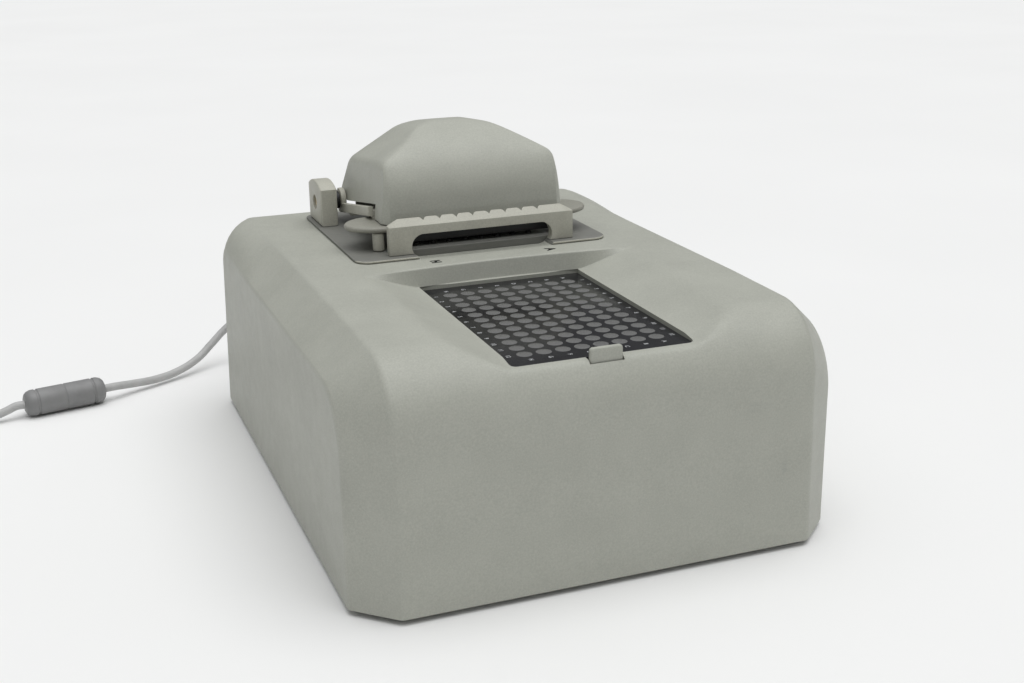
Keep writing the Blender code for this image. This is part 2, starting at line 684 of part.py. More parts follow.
def make_head(mats, arm):
    lower = box("lower_pedestal_block", (-HEAD_HALF_X, HEAD_FRONT_Y, LOWER_BLOCK_BOTTOM_Z),
                (HEAD_HALF_X, HEAD_BACK_Y, LOWER_BLOCK_TOP_Z), mats["grey_plate"])
    upper = box("upper_pedestal_block", (-HEAD_HALF_X, UPPER_BLOCK_Y[0], UPPER_BLOCK_BOTTOM_Z),
                (HEAD_HALF_X, UPPER_BLOCK_Y[1], ARM_PLATE_BOTTOM_Z - GAP), mats["black"], arm)
    for channel in range(CHANNELS):
        x = (channel - (CHANNELS - 1) / 2) * PITCH
        number = channel + 1
        hole = PEDESTAL_RADIUS + GAP
        boolean(lower, cylinder(f"lower_bore_{number}", (x, PEDESTAL_Y, 0.100),
                                (x, PEDESTAL_Y, 0.120), hole, sides=12))
        boolean(upper, cylinder(f"upper_bore_{number}", (x, PEDESTAL_Y, 0.118),
                                (x, PEDESTAL_Y, 0.127), hole, sides=12))
        cylinder(f"lower_pedestal_{number}", (x, PEDESTAL_Y, LOWER_PEDESTAL_FOOT_Z),
                 (x, PEDESTAL_Y, LOWER_TIP_Z), PEDESTAL_RADIUS, mats["steel"], sides=16)
        cylinder(f"upper_pedestal_{number}", (x, PEDESTAL_Y, UPPER_TIP_Z),
                 (x, PEDESTAL_Y, ARM_PLATE_BOTTOM_Z - 2 * GAP), PEDESTAL_RADIUS, mats["steel"],
                 arm, sides=16)
    for side, sign in (("left", -1), ("right", 1)):
        xs = sorted(sign * x for x in STOP_LUG_X)
        box(f"stop_lug_{side}", (xs[0], STOP_LUG_Y[0], PLATFORM_TOP_Z + GAP),
            (xs[1], STOP_LUG_Y[1], ARM_PLATE_BOTTOM_Z - GAP), mats["putty"], rounding=0.0008)


# Hinge and arm

def make_hinge(mats):
    post_outline = [(HINGE_Y - POST_HALF_DEPTH, PLATFORM_TOP_Z + GAP),
                    (HINGE_Y + POST_HALF_DEPTH, PLATFORM_TOP_Z + GAP)]
    shoulder = math.degrees(math.acos(POST_HALF_DEPTH / POST_CROWN[0]))
    post_outline += arc((HINGE_Y, HINGE_Z), POST_CROWN, shoulder, 180 - shoulder, 12)
    for side, sign in (("left", -1), ("right", 1)):
        def across(x):
            return (sign * x, HINGE_Y, HINGE_Z)

        low, high = sorted((sign * POST_INNER_X, sign * POST_OUTER_X))
        post = plate(f"hinge_post_{side}", post_outline, low, high, "x", mats["putty"])
        bevel(post, 0.0008, segments=2, angle=50.0)
        boolean(post, cylinder(f"post_bore_{side}", across(0.050), across(0.070),
                               PIN_RADIUS + GAP))
        boolean(post, cylinder(f"post_recess_{side}", across(PIN_RECESS_X), across(0.070),
                               PIN_RECESS_RADIUS))
        smooth(post)
        cylinder(f"hinge_pin_{side}", across(PIN_X[0]), across(PIN_X[1]), PIN_RADIUS,
                 mats["brass"])
        bush = cylinder(f"hinge_bush_{side}", across(RAIL_OUTER_X + GAP),
                        across(POST_INNER_X - GAP), BUSH_RADIUS, mats["black"])
        boolean(bush, cylinder(f"bush_bore_{side}", across(0.050), across(0.060),
                               PIN_RADIUS + GAP))


def ear_outline():
    """The front plate of the arm with its two finger tabs, as (x, y)."""
    middle = (EAR_FRONT_Y + EAR_BACK_Y) / 2
    reach = EAR_TIP_X - ARM_WAIST_X
    half = (EAR_BACK_Y - EAR_FRONT_Y) / 2
    right = arc((ARM_WAIST_X, middle), (reach, half), -90, 90, 12)
    left = [(-x, y) for x, y in reversed(right)]
    return right + left


def make_arm_frame(mats, arm):
    frame = plate("arm_frame", ear_outline(), ARM_PLATE_BOTTOM_Z, ARM_PLATE_TOP_Z,
                  material=mats["putty"], parent=arm)
    bevel(frame, 0.0007, segments=2, angle=50.0)
    half = RAIL_HEIGHT / 2
    rail = [(RAIL_FRONT_Y, RAIL_FRONT_Z - half), (HINGE_Y, RAIL_BACK_Z - half),
            (HINGE_Y, RAIL_BACK_Z + half), (RAIL_FRONT_Y, RAIL_FRONT_Z + half)]
    for side, sign in (("left", -1), ("right", 1)):
        low, high = sorted((sign * RAIL_INNER_X, sign * RAIL_OUTER_X))
        boolean(frame, plate(f"rail_{side}", rail, low, high, "x"), "UNION")
        web_low, web_high = sorted((sign * WEB_INNER_X, sign * (RAIL_INNER_X + 0.0008)))
        boolean(frame, box(f"web_{side}", (web_low, RAIL_FRONT_Y + 0.0002, WEB_Z[0]),
                           (web_high, WEB_BACK_Y, WEB_Z[1])), "UNION")
        boolean(frame, cylinder(f"knuckle_{side}", (low, HINGE_Y, HINGE_Z),
                                (high, HINGE_Y, HINGE_Z), KNUCKLE_RADIUS), "UNION")
    boolean(frame, box("rear_cross_bar", CROSS_BAR_LOW, CROSS_BAR_HIGH), "UNION")
    boolean(frame, cylinder("knuckle_bore", (-0.060, HINGE_Y, HINGE_Z), (0.060, HINGE_Y, HINGE_Z),
                            PIN_RADIUS + GAP))
    smooth(frame, 30.0)


def crossing(line, height, first):
    """Where a line of (across, up) points crosses a height: at its first or last crossing."""
    found = []
    for (a0, z0), (a1, z1) in zip(line, line[1:]):
        if min(z0, z1) <= height <= max(z0, z1) and z0 != z1:
            found.append(a0 + (a1 - a0) * (height - z0) / (z1 - z0))
    return min(found) if first else max(found)


def corner_at(height):
    """Size of the cover's upright corners: a facet at its foot, a crisp edge above."""
    for (z0, size0), (z1, size1) in zip(COVER_CORNERS, COVER_CORNERS[1:]):
        if height <= z1:
            return size0 + (size1 - size0) * (height - z0) / (z1 - z0)
    return COVER_CORNERS[-1][1]


def cover_rings():
    """Rounded rectangles that fit both outlines of the cover, from its foot to its crown."""
    front = rounded(COVER_FRONT, steps=6)
    side = rounded(COVER_SIDE, steps=6)
    foot, crown = COVER_SIDE[0][0][1], max(z for _, z in side)
    rings = []
    for step in range(COVER_RINGS):
        rise = math.sin(math.pi / 2 * step / (COVER_RINGS - 1))
        height = foot + (crown - 0.0003 - foot) * rise
        half = crossing(front, min(height, COVER_FRONT[-1][0][1] - 0.0001), False)
        y0, y1 = crossing(side, height, True), crossing(side, height, False)
        corner = min(corner_at(height), half * 0.6, (y1 - y0) * 0.4)
        rings.append([(x, y, height - COVER_LEAN * (y - COVER_LEVEL_Y))
                      for x, y in rounded_rectangle(-half, half, y0, y1, corner, steps=3)])
    return rings


def make_cover(mats, arm):
    """The domed cover of the arm, a moulded shell that is open below."""
    cover = loft("arm_cover", cover_rings(), mats["putty"], arm, closed_ends=False)
    shell = cover.modifiers.new("shell", "SOLIDIFY")
    shell.thickness = COVER_WALL
    shell.offset = -1.0
    below, behind = 0.100, 0.120
    outline = [(0.0, below), (behind, below), (behind, COVER_BACK_EDGE_Z),
               (COVER_REAR_Y, COVER_BACK_EDGE_Z), (COVER_STEP_Y, COVER_STEP_Z),
               (COVER_STEP_Y, COVER_FRONT_EDGE_Z), (0.0, COVER_FRONT_EDGE_Z)]
    boolean(cover, plate("cover_trim", outline, -0.060, 0.060, "x"))
    smooth(cover, 28.0)


# Inside the housing

def make_insides(mats):
    cylinder("path_plunger", (0, PLUNGER_Y, PLUNGER_FOOT_Z), (0, PLUNGER_Y, PLUNGER_TOP_Z),
             PLUNGER_RADIUS, mats["steel"],
             joint_axis("plunger_axis", (0, PLUNGER_Y, PLUNGER_TOP_Z)), sides=20)
    drive = cylinder("path_actuator", (0, PLUNGER_Y, ACTUATOR_Z[0]), (0, PLUNGER_Y, ACTUATOR_Z[1]),
                     ACTUATOR_RADIUS, mats["black"])
    boolean(drive, cylinder("actuator_bore", (0, PLUNGER_Y, ACTUATOR_BORE_Z),
                            (0, PLUNGER_Y, ACTUATOR_Z[1] + 0.004),
                            PLUNGER_RADIUS + ACTUATOR_CLEAR))
    box("spectrometer_module", *SPECTROMETER, mats["black"], rounding=0.002)
    box("flash_lamp_module", *LAMP, mats["steel"], rounding=0.002)
    box("main_board", *BOARD, mats["board"])
    tube("fibre_bundle", smooth_route(FIBRE_ROUTE), FIBRE_RADIUS, mats["black"])


# Rear sockets and signal lead

def rear_frame(x, z):
    """Origin and turn of a piece that is square to the leaning rear wall."""
    slope = (HALF_DEPTH - BACK_TOP_Y) / (DECK_Z - BACK_ROLL - FOOT_HEIGHT)
    y = HALF_DEPTH - slope * (z - FOOT_HEIGHT)
    return Matrix.Translation((x, y, z)) @ Matrix.Rotation(math.atan(slope), 4, "X")


def rear_box(name, x, z, low, high, material=None, rounding=0.0):
    """A box given by its corners from a point on the rear wall, square to the wall."""
    piece = box(name, low, high, material, rounding=rounding)
    piece.matrix_world = rear_frame(x, z) @ Matrix.Translation(piece.location)
    return piece


def rear_cylinder(name, x, z, start, end, radius, material=None, end_radius=None):
    place = rear_frame(x, z)
    return cylinder(name, place @ Vector((0, start, 0)), place @ Vector((0, end, 0)), radius,
                    material, end_radius=end_radius)


def make_rear(mats):
    x0, x1, z0, z1 = REAR_WINDOW
    middle_x, middle_z = (x0 + x1) / 2, (z0 + z1) / 2
    half_x, half_z = (x1 - x0) / 2 + REAR_PANEL_LAP, (z1 - z0) / 2 + REAR_PANEL_LAP
    inner = -WALL - 0.0014
    panel = rear_box("rear_panel", middle_x, middle_z, (-half_x, inner - REAR_PANEL_THICK, -half_z),
                     (half_x, inner, half_z), mats["black"])
    wide, high = SOCKET_HALF
    around = 0.0004
    boolean(panel, rear_box("usb_window", USB_X, SOCKET_Z, (-wide - around, -0.020, -high - around),
                            (wide + around, 0.010, high + around)))
    boolean(panel, rear_cylinder("inlet_window", INLET_X, SOCKET_Z, -0.020, 0.010,
                                 INLET_RADIUS + GAP))
    socket = rear_box("usb_socket", USB_X, SOCKET_Z, (-wide, -SOCKET_DEPTH, -high),
                      (wide, -SOCKET_SUNK, high), mats["steel"])
    mouth_x, mouth_z = SOCKET_MOUTH_HALF
    boolean(socket, rear_box("usb_mouth", USB_X, SOCKET_Z, (-mouth_x, -SOCKET_MOUTH_DEPTH, -mouth_z),
                             (mouth_x, 0.0020, mouth_z)))
    inlet = rear_cylinder("power_inlet", INLET_X, SOCKET_Z, -INLET_DEPTH, -SOCKET_SUNK,
                          INLET_RADIUS, mats["black"])
    boolean(inlet, rear_cylinder("inlet_mouth", INLET_X, SOCKET_Z, -INLET_MOUTH_DEPTH, 0.0020,
                                 INLET_MOUTH_RADIUS))
    rear_cylinder("inlet_pin", INLET_X, SOCKET_Z, -INLET_MOUTH_DEPTH + GAP, -0.0020,
                  INLET_PIN_RADIUS, mats["steel"])


def make_lead(mats):
    """The signal lead: plug, strain relief, ferrite sleeve, loose tail, coil and far plug."""
    wide, high = PLUG_HALF
    tongue_x, tongue_z = PLUG_TONGUE_HALF
    plug = rear_box("lead_plug", USB_X, SOCKET_Z, (-wide, 0.0, -high), (wide, PLUG_LENGTH, high),
                    mats["lead_grey"], rounding=0.0012)
    boolean(plug, rear_box("plug_tongue", USB_X, SOCKET_Z,
                           (-tongue_x, -PLUG_TONGUE_LENGTH, -tongue_z),
                           (tongue_x, 0.0030, tongue_z)), "UNION")
    rear_cylinder("lead_relief", USB_X, SOCKET_Z, PLUG_LENGTH + GAP, PLUG_LENGTH + RELIEF_LENGTH,
                  RELIEF_RADII[0], mats["lead_grey"], end_radius=RELIEF_RADII[1])
    place = rear_frame(USB_X, SOCKET_Z)
    start = place @ Vector((0, PLUG_LENGTH + RELIEF_LENGTH + GAP, 0))
    straight = place @ Vector((0, PLUG_LENGTH + RELIEF_LENGTH + 0.004, 0))
    right, left = Vector(FERRITE_RIGHT), Vector(FERRITE_LEFT)
    along = (left - right).normalized()
    lead = [start, straight, *LEAD_ROUTE, right - along * 0.006, right - along * GAP]
    tube("lead_cord", smooth_route(lead), CORD_RADIUS, mats["lead_grey"])
    sleeve = cylinder("ferrite_sleeve", right, left, FERRITE_RADIUS, mats["ferrite_grey"])
    bevel(sleeve, 0.0018, segments=3)
    tail = [left + along * GAP, left + along * 0.005, *TAIL_ROUTE]
    tube("lead_tail", smooth_route(tail), CORD_RADIUS, mats["lead_grey"])
    ring("lead_coil", COIL_CENTRE, COIL_MEAN_RADIUS, COIL_HALF_WIDTH, COIL_HEIGHT,
         mats["lead_grey"])
    plug_x, plug_y = FAR_PLUG_FACE
    shell_y = plug_y - FAR_PLUG_LENGTH
    box("far_plug", (plug_x - FAR_PLUG_HALF_X, shell_y, FAR_PLUG_Z[0]),
        (plug_x + FAR_PLUG_HALF_X, plug_y, FAR_PLUG_Z[1]), mats["lead_grey"], rounding=0.0015)
    box("far_plug_shell", (plug_x - FAR_SHELL_HALF_X, shell_y - FAR_SHELL_LENGTH, FAR_SHELL_Z[0]),
        (plug_x + FAR_SHELL_HALF_X, shell_y - GAP, FAR_SHELL_Z[1]), mats["steel"],
        rounding=0.0004)


def main():
    clear_scene()
    make_collection(PARTS)
    make_collection(CUTTERS)
    mats = {
        "putty": make_material("putty_plastic", (0.44, 0.44, 0.39), 0.5),
        "gloss_black": make_material("gloss_black_panel", (0.012, 0.012, 0.014), 0.15),
        "grey_plate": make_material("satin_grey_plate", (0.21, 0.21, 0.195), 0.45),
        "black": make_material("black_anodised", (0.02, 0.02, 0.022), 0.45),
        "steel": make_material("stainless_steel", (0.6, 0.6, 0.6), 0.3, 1.0),
        "brass": make_material("brass", (0.65, 0.46, 0.18), 0.35, 1.0),
        "rubber": make_material("black_rubber", (0.02, 0.02, 0.02), 0.8),
        "board": make_material("circuit_board", (0.02, 0.16, 0.07), 0.5),
        "lead_grey": make_material("lead_jacket", (0.35, 0.35, 0.34), 0.5),
        "ferrite_grey": make_material("ferrite_sleeve", (0.22, 0.22, 0.22), 0.5),
    }
    arm = joint_axis("arm_hinge_axis", (0.0, HINGE_Y, HINGE_Z))
    make_housing(mats)
    make_base(mats)
    make_well_map(mats)
    make_tab(mats)
    make_platform(mats)
    make_guide_bar(mats)
    make_head(mats, arm)
    make_hinge(mats)
    make_arm_frame(mats, arm)
    make_cover(mats, arm)
    make_insides(mats)
    make_rear(mats)
    make_lead(mats)


main()
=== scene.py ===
"""Looks of the eight-channel benchtop spectrophotometer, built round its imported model.

Metres, +Z up, in the model's frame: the origin is on the table under the centre of the housing,
+X to the operator's right and +Y to the back. Fine skins stand in for the plain outer pieces,
and every piece rides on the body that carries it: base, arm, tab or plunger.
"""

import math

import bmesh
import bpy
import numpy as np
from mathutils import Matrix, Vector


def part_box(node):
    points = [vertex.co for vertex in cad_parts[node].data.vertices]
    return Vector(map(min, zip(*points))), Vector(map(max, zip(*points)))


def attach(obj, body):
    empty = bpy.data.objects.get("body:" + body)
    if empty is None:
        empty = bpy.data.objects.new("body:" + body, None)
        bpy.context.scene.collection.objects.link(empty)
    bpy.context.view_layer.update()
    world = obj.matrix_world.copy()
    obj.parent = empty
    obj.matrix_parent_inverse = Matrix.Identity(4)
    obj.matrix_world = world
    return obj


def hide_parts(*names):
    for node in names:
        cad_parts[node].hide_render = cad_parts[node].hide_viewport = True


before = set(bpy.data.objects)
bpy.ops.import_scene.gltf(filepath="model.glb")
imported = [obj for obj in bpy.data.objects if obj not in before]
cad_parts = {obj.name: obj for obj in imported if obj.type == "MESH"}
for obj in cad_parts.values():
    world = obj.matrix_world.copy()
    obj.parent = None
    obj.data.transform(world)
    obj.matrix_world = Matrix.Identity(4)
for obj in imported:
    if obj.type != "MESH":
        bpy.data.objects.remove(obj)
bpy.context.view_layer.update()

# Housing, as in the model
HALF_WIDTH = 0.117
EDGE_X = 0.0982
HALF_DEPTH = 0.159
FOOT_HEIGHT = 0.003
DECK_Z = 0.114
SIDE_TOP_Z = 0.0984
CHAMFER_Y = 0.0178
WALL = 0.003
GAP = 0.0003
FRONT_TOP_Y = -0.1572
FRONT_ROLL = 0.030
CROWN_DROP = 0.0008       # the deck falls this much towards the front roll
CROWN_Y = -0.080
BACK_ROLL = 0.014
BACK_TOP_Y = 0.145
ROLL_Y = FRONT_TOP_Y + FRONT_ROLL
ROLL_Z = DECK_Z - CROWN_DROP - FRONT_ROLL
SIDE_ROLL = (0.026, 0.030)          # front upper corner of the side faces: length, height
SIDE_BACK_ARC = (0.116, 0.088)      # centre of their back upper corner, as (y, z)
SIDE_BACK_Y = 0.1264                # where that corner ends
BULGE = 0.0036            # the side chamfer swells this much towards the back
BULGE_Y = (0.030, 0.115)
EDGE_SOFT = 0.0018        # how far the rounding of the chamfer's edges reaches
SOFT_FADE_Y = 0.12        # on a side face it reaches inwards in full this far from the middle
SOFT_FADE_Z = 0.045       # and downwards only above this height

# Well map and trough
PITCH = 0.009
CHANNELS = 8
COLUMNS = 12
CHANNEL_X = [(number - (CHANNELS - 1) / 2) * PITCH for number in range(CHANNELS)]
PANEL_LOW, PANEL_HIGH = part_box("well_map_panel")
PANEL_CORNER = 0.0024
TROUGH_HALF_X = 0.0695
TROUGH_FLAT_X = 0.0433
TROUGH_FLOOR_Z = 0.1046
TROUGH_BACK_Y = -0.0150
TROUGH_LIP_BOW = 0.0050
TROUGH_WALL_LEAN = 0.0016
TROUGH_SOFT = 0.0018      # how softly the floor runs into the deck and the front roll
BOW_HALF_X = 0.066        # where the lip has moved forward by all of its bow
BOW_FADE_Y = (-0.090, -0.0235, -0.009, 0.045)
RUN_OUT = ((-0.170, -0.0022), (-0.146, -0.0014), (-0.136, 0.0))     # the floor's fall, as (y, rise)
BLOCK_HALF_X = 0.0745     # solid block under the trough, left when the housing is hollowed
BLOCK_Y = (-0.158, -0.0085)
BLOCK_Z = 0.0965
PRINT_RISE = 0.00003      # letters lie this far above what they are printed on

# Pieces on the deck
CLEAR = 0.0004            # between the deck and what passes through it
THROUGH_DECK = (0.105, 0.120)
PLATFORM_LOW, PLATFORM_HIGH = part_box("platform_plate")
BAR_LOW, BAR_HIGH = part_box("pipette_guide_bar")
BAR_FACET_HALF_X = 0.0450
BAR_FACE_TOP_Z = 0.1303
SLOT_HALF_X = 0.0388
SLOT_RADIUS = 0.0064
SLOT_Z = 0.1193
HEAD_HALF_X = 0.041
HEAD_FRONT_Y = 0.011
HEAD_BACK_Y = 0.032
PLUNGER_Y = 0.0405
PLUNGER_RADIUS = 0.0025
PLUNGER_HOLE = PLUNGER_RADIUS + 0.0006
PEDESTAL_Y = sum(corner.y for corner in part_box("lower_pedestal_1")) / 2
PEDESTAL_HOLE = 0.0019

# Hinge and arm
SIDES = (("left", -1), ("right", 1))
HINGE_Y = 0.0995
HINGE_Z = 0.127
POST_HALF_DEPTH = 0.0145
POST_CROWN = (0.0209, 0.0125)
PIN_RADIUS = 0.0028
PIN_RECESS_X = 0.0652     # floor of the round recess in a post's outer face
KNUCKLE_RADIUS = 0.0068
RAIL_HEIGHT = 0.0052
RAIL_X = (0.0502, 0.0532)
RAIL_FRONT = (0.036, 0.1331)
RAIL_BACK_Z = 0.1225
WEB_X = (0.0430, RAIL_X[0] + 0.0006)
WEB_BACK_Y = 0.0402
WEB_Z = (0.1270, 0.1335)
CROSS_BAR = ((-0.0502, 0.0850, 0.1202), (0.0502, 0.0915, 0.1252))
CROSS_WALL = ((-0.0466, 0.0858, 0.1248), (0.0466, 0.0882, 0.1350))
ARM_PLATE_Z = (0.1255, 0.1285)
EAR_TIP_X = 0.0675
EAR_Y = (0.0160, 0.0460)
ARM_WAIST_X = 0.0480

# Arm cover
COVER_LEAN = 0.115
COVER_LEVEL_Y = 0.030
COVER_FRONT = (((0.0516, 0.118), 0.0), ((0.0470, 0.1590), 0.007), ((0.0205, 0.1757), 0.022),
               ((0.0080, 0.1788), 0.022), ((0.0, 0.1788), 0.0))
COVER_SIDE = (((0.0168, 0.118), 0.0), ((0.0194, 0.1565), 0.036), ((0.0400, 0.1722), 0.045),
              ((0.0600, 0.1791), 0.050), ((0.0885, 0.1775), 0.008), ((0.0950, 0.1595), 0.012),
              ((0.1115, 0.1409), 0.006), ((0.1135, 0.118), 0.0))
COVER_CORNERS = ((0.118, 0.0048), (0.159, 0.0012), (0.1765, 0.0012), (0.1788, 0.004))
COVER_FACET = 0.75        # how flat the upright corners are, from round to a plain facet
COVER_RINGS = 72
COVER_WALL = 0.002
COVER_TRIM = ((0.0, 0.100), (0.120, 0.100), (0.120, 0.1276), (0.0930, 0.1276), (0.0345, 0.1371),
              (0.0345, 0.1292), (0.0, 0.1292))
RIB_X = (0.0392, 0.0408)
RIB_OUTLINE = ((0.0400, 0.1300), (0.0880, 0.1275), (0.0870, 0.1450), (0.0400, 0.1500))

# Rear wall and signal lead
REAR_SLOPE = (HALF_DEPTH - BACK_TOP_Y) / (DECK_Z - BACK_ROLL - FOOT_HEIGHT)
SOCKET_Z = 0.030
USB_X = -0.080
INLET_X = -0.045
REAR_WINDOW = (-0.094, -0.028, 0.016, 0.046)
PLUG_LENGTH = 0.020
RELIEF_LENGTH = 0.020
CORD_RADIUS = 0.0024
FERRITE_RIGHT = (-0.1875, 0.172, 0.008)
FERRITE_LEFT = (-0.2340, 0.162, 0.008)
COIL_CENTRE = (-0.3080, 0.1265)
FAR_PLUG_FACE = (-0.3409, 0.0960)
LEAD_ROUTE = ((-0.0805, 0.2020, 0.0368), (-0.0845, 0.2110, 0.0355), (-0.0930, 0.2180, 0.0305),
              (-0.1045, 0.2185, 0.0225), (-0.1155, 0.2130, 0.0148), (-0.1260, 0.2050, 0.0088),
              (-0.1390, 0.1965, 0.0052), (-0.1540, 0.1880, 0.0044), (-0.1700, 0.1800, 0.0060))
TAIL_ROUTE = ((-0.2440, 0.1597, 0.0064), (-0.2550, 0.1576, 0.0038), (-0.2660, 0.1562, 0.0029),
              (-0.2760, 0.1556, 0.0028), (-0.2838, 0.1553, 0.0028))


# Objects and nodes

def with_settings(target, **settings):
    """Sets several properties of an object, node, curve or modifier, and returns it."""
    for name, value in settings.items():
        setattr(target, name, value)
    return target


def add_node(tree, kind, inputs, **settings):
    """A shader node with its properties set and its inputs, by name or number, set or linked."""
    node = with_settings(tree.nodes.new("ShaderNode" + kind), **settings)
    for socket, value in inputs.items():
        if isinstance(value, bpy.types.NodeSocket):
            tree.links.new(value, node.inputs[socket])
        else:
            node.inputs[socket].default_value = value
    return node


def linked(name, data):
    """A new object, linked to the scene."""
    obj = bpy.data.objects.new(name, data)
    bpy.context.scene.collection.objects.link(obj)
    return obj


# Camera, light and floor

def make_camera():
    data = bpy.data.cameras.new("camera")
    data.lens = 48.325
    data.sensor_width = 36.0
    data.clip_start = 0.01
    camera = linked("camera", data)
    camera.location = (-0.23468, -0.65179, 0.29119)
    camera.rotation_euler = [math.radians(angle) for angle in (71.9184, 0.7915, -21.0547)]
    bpy.context.scene.camera = camera


def make_surround():
    """A studio tent: brightest overhead and dim near the horizon."""
    world = bpy.data.worlds.new("surround")
    bpy.context.scene.world = world
    world.use_nodes = True
    tree = world.node_tree
    coords = add_node(tree, "TexCoord", {}).outputs["Generated"]
    height = add_node(tree, "SeparateXYZ", {"Vector": coords}).outputs["Z"]
    ramp = add_node(tree, "ValToRGB", {"Fac": height})
    elements = ramp.color_ramp.elements
    elements.new(0.35)
    for element, level in zip(elements, (0.04, 0.22, 1.04)):
        element.color = (level * 0.985, level * 0.995, level, 1.0)
    tree.links.new(ramp.outputs["Color"], tree.nodes["Background"].inputs["Color"])
    bpy.context.scene.view_settings.view_transform = "Standard"


def make_stage():
    """A pale table top under one very broad, soft light overhead."""
    builder = bmesh.new()
    bmesh.ops.create_grid(builder, x_segments=8, y_segments=8, size=6.0)
    mesh = bpy.data.meshes.new("table_top")
    builder.to_mesh(mesh)
    builder.free()
    mesh.materials.append(grained("pale_table", 0.75, (3.0, 3), (0.86, 0.86, 0.855),
                                  (0.88, 0.88, 0.875), relief=((600.0, 3), 0.08, 0.0001),
                                  Specular_IOR_Level=0.2))
    linked("table_top", mesh)
    data = bpy.data.lights.new("soft_sun", "SUN")
    data.angle = math.radians(60.0)
    data.energy = 1.34
    sun = linked("soft_sun", data)
    sun.rotation_euler = (math.radians(9.0), math.radians(7.0), 0.0)
    make_surround()


# Materials

class Finish:
    """A Principled material whose colour, roughness and relief come from procedural nodes."""

    def __init__(self, name, roughness, metallic=0.0, **constants):
        self.material = bpy.data.materials.new(name)
        self.material.use_nodes = True
        self.tree = self.material.node_tree
        self.shader = self.tree.nodes["Principled BSDF"]
        for socket, value in {"Roughness": roughness, "Metallic": metallic, **constants}.items():
            self.shader.inputs[socket.replace("_", " ")].default_value = value
        self.coords = self.add("TexCoord", {}).outputs["Object"]
        self.normal = None

    def add(self, kind, inputs, **settings):
        return add_node(self.tree, kind, inputs, **settings)

    def drive(self, socket, output):
        self.tree.links.new(output, self.shader.inputs[socket])

    def local(self, size, centre=(0, 0, 0), turn=0.0):
        """Coordinates that reach 1 at a size from a centre, turned in degrees about Y."""
        inputs = {"Vector": self.coords, "Location": centre, "Scale": size,
                  "Rotation": (0.0, math.radians(turn), 0.0)}
        return self.add("Mapping", inputs, vector_type="TEXTURE").outputs["Vector"]

    def noise(self, scale, detail=4.0, roughness=0.5, coords=None):
        return self.add("TexNoise", {"Vector": coords or self.coords, "Scale": scale,
                                     "Detail": detail, "Roughness": roughness}).outputs["Fac"]

    def cells(self, scale, randomness=1.0):
        return self.add("TexVoronoi", {"Vector": self.coords, "Scale": scale,
                                       "Randomness": randomness}).outputs["Distance"]

    def ramp(self, factor, *stops):
        """Colours or plain values, each at its place on a varying factor."""
        node = self.add("ValToRGB", {"Fac": factor})
        elements = node.color_ramp.elements
        while len(elements) < len(stops):
            elements.new(1.0)
        for element, (place, colour) in zip(elements, stops):
            element.position = place
            element.color = (*(colour if isinstance(colour, tuple) else (colour,) * 3), 1.0)
        return node.outputs["Color"]

    def math(self, operation, first, second):
        return self.add("Math", {0: first, 1: second}, operation=operation).outputs["Value"]

    def spot(self, size, centre, turn):
        """1 at a centre, falling to 0 at a size from it, turned in degrees about Y."""
        away = self.add("VectorMath", {0: self.local(size, centre, turn)}, operation="LENGTH")
        inputs = {"Value": away.outputs["Value"], "From Min": 1.0, "From Max": 0.0}
        return self.add("MapRange", inputs, interpolation_type="SMOOTHSTEP").outputs["Result"]

    def tint(self, factor, *stops):
        """Base colour from a varying factor."""
        colour = self.ramp(factor, *stops)
        self.drive("Base Color", colour)
        return colour

    def gloss(self, factor, *stops):
        """Roughness from a varying factor."""
        self.drive("Roughness", self.ramp(factor, *stops))

    def bump(self, height, strength, distance):
        """Relief on top of any relief so far."""
        inputs = {"Height": height, "Strength": strength, "Distance": distance}
        if self.normal:
            inputs["Normal"] = self.normal
        self.normal = self.add("Bump", inputs).outputs["Normal"]
        self.drive("Normal", self.normal)


PUTTY = (0.415, 0.422, 0.372)
# The warmer putty of the bar, posts, rails and lugs: partly their own warmer tone, and partly painted
# light, as it is made a little lighter so that the guide bar's facet reads as brightly lit.
WARM_PUTTY = (0.472, 0.466, 0.402)


def shade(colour, factor):
    return tuple(channel * factor for channel in colour)


def grained(name, roughness, tint, dark, light, gloss=None, relief=None, metallic=0.0,
            **constants):
    """A material with noise in its colour and, where given, in its polish and its relief."""
    finish = Finish(name, roughness, metallic, **constants)
    finish.tint(finish.noise(*tint), (0.3, dark), (0.7, light))
    if gloss:
        finish.gloss(finish.noise(*gloss[0]), *gloss[1:])
    if relief:
        finish.bump(finish.noise(*relief[0]), *relief[1:])
    return finish.material


def lined(name, dark, light, roughness, metallic=1.0, grain=(900.0, 20.0),
          polish=(120.0, -0.08, 0.10), relief=(0.12, 0.00003)):
    """Metal with fine lines along X, as grain (scale, stretch), and slight changes of polish."""
    finish = Finish(name, roughness, metallic)
    lines = finish.noise(grain[0], 4, 0.6, finish.local((grain[1], 1.0, 1.0)))
    finish.tint(lines, (0.3, dark), (0.7, light))
    scale, less, more = polish
    finish.gloss(finish.noise(scale, 4), (0.3, roughness + less), (0.7, roughness + more))
    finish.bump(lines, *relief)
    return finish.material


def putty_plastic(name, colour, roughness=0.45):
    """Painted moulding with a fine spark-eroded grain and a faint mottle."""
    finish = Finish(name, roughness, Specular_IOR_Level=0.36)
    mottle = finish.math("ADD", finish.math("MULTIPLY", finish.noise(38.0, 5, 0.6), 0.35),
                         finish.math("MULTIPLY", finish.noise(1250.0, 2, 0.7), 0.65))
    base = finish.tint(mottle, (0.34, shade(colour, 0.90)), (0.50, colour),
                       (0.66, shade(colour, 1.10)))
    finish.gloss(finish.noise(160.0, 4), (0.3, roughness - 0.04), (0.7, roughness + 0.06))
    finish.bump(finish.noise(1500.0, 3, 0.6), 0.16, 0.00010)
    finish.bump(finish.cells(2600.0), 0.07, 0.00006)
    return finish, base


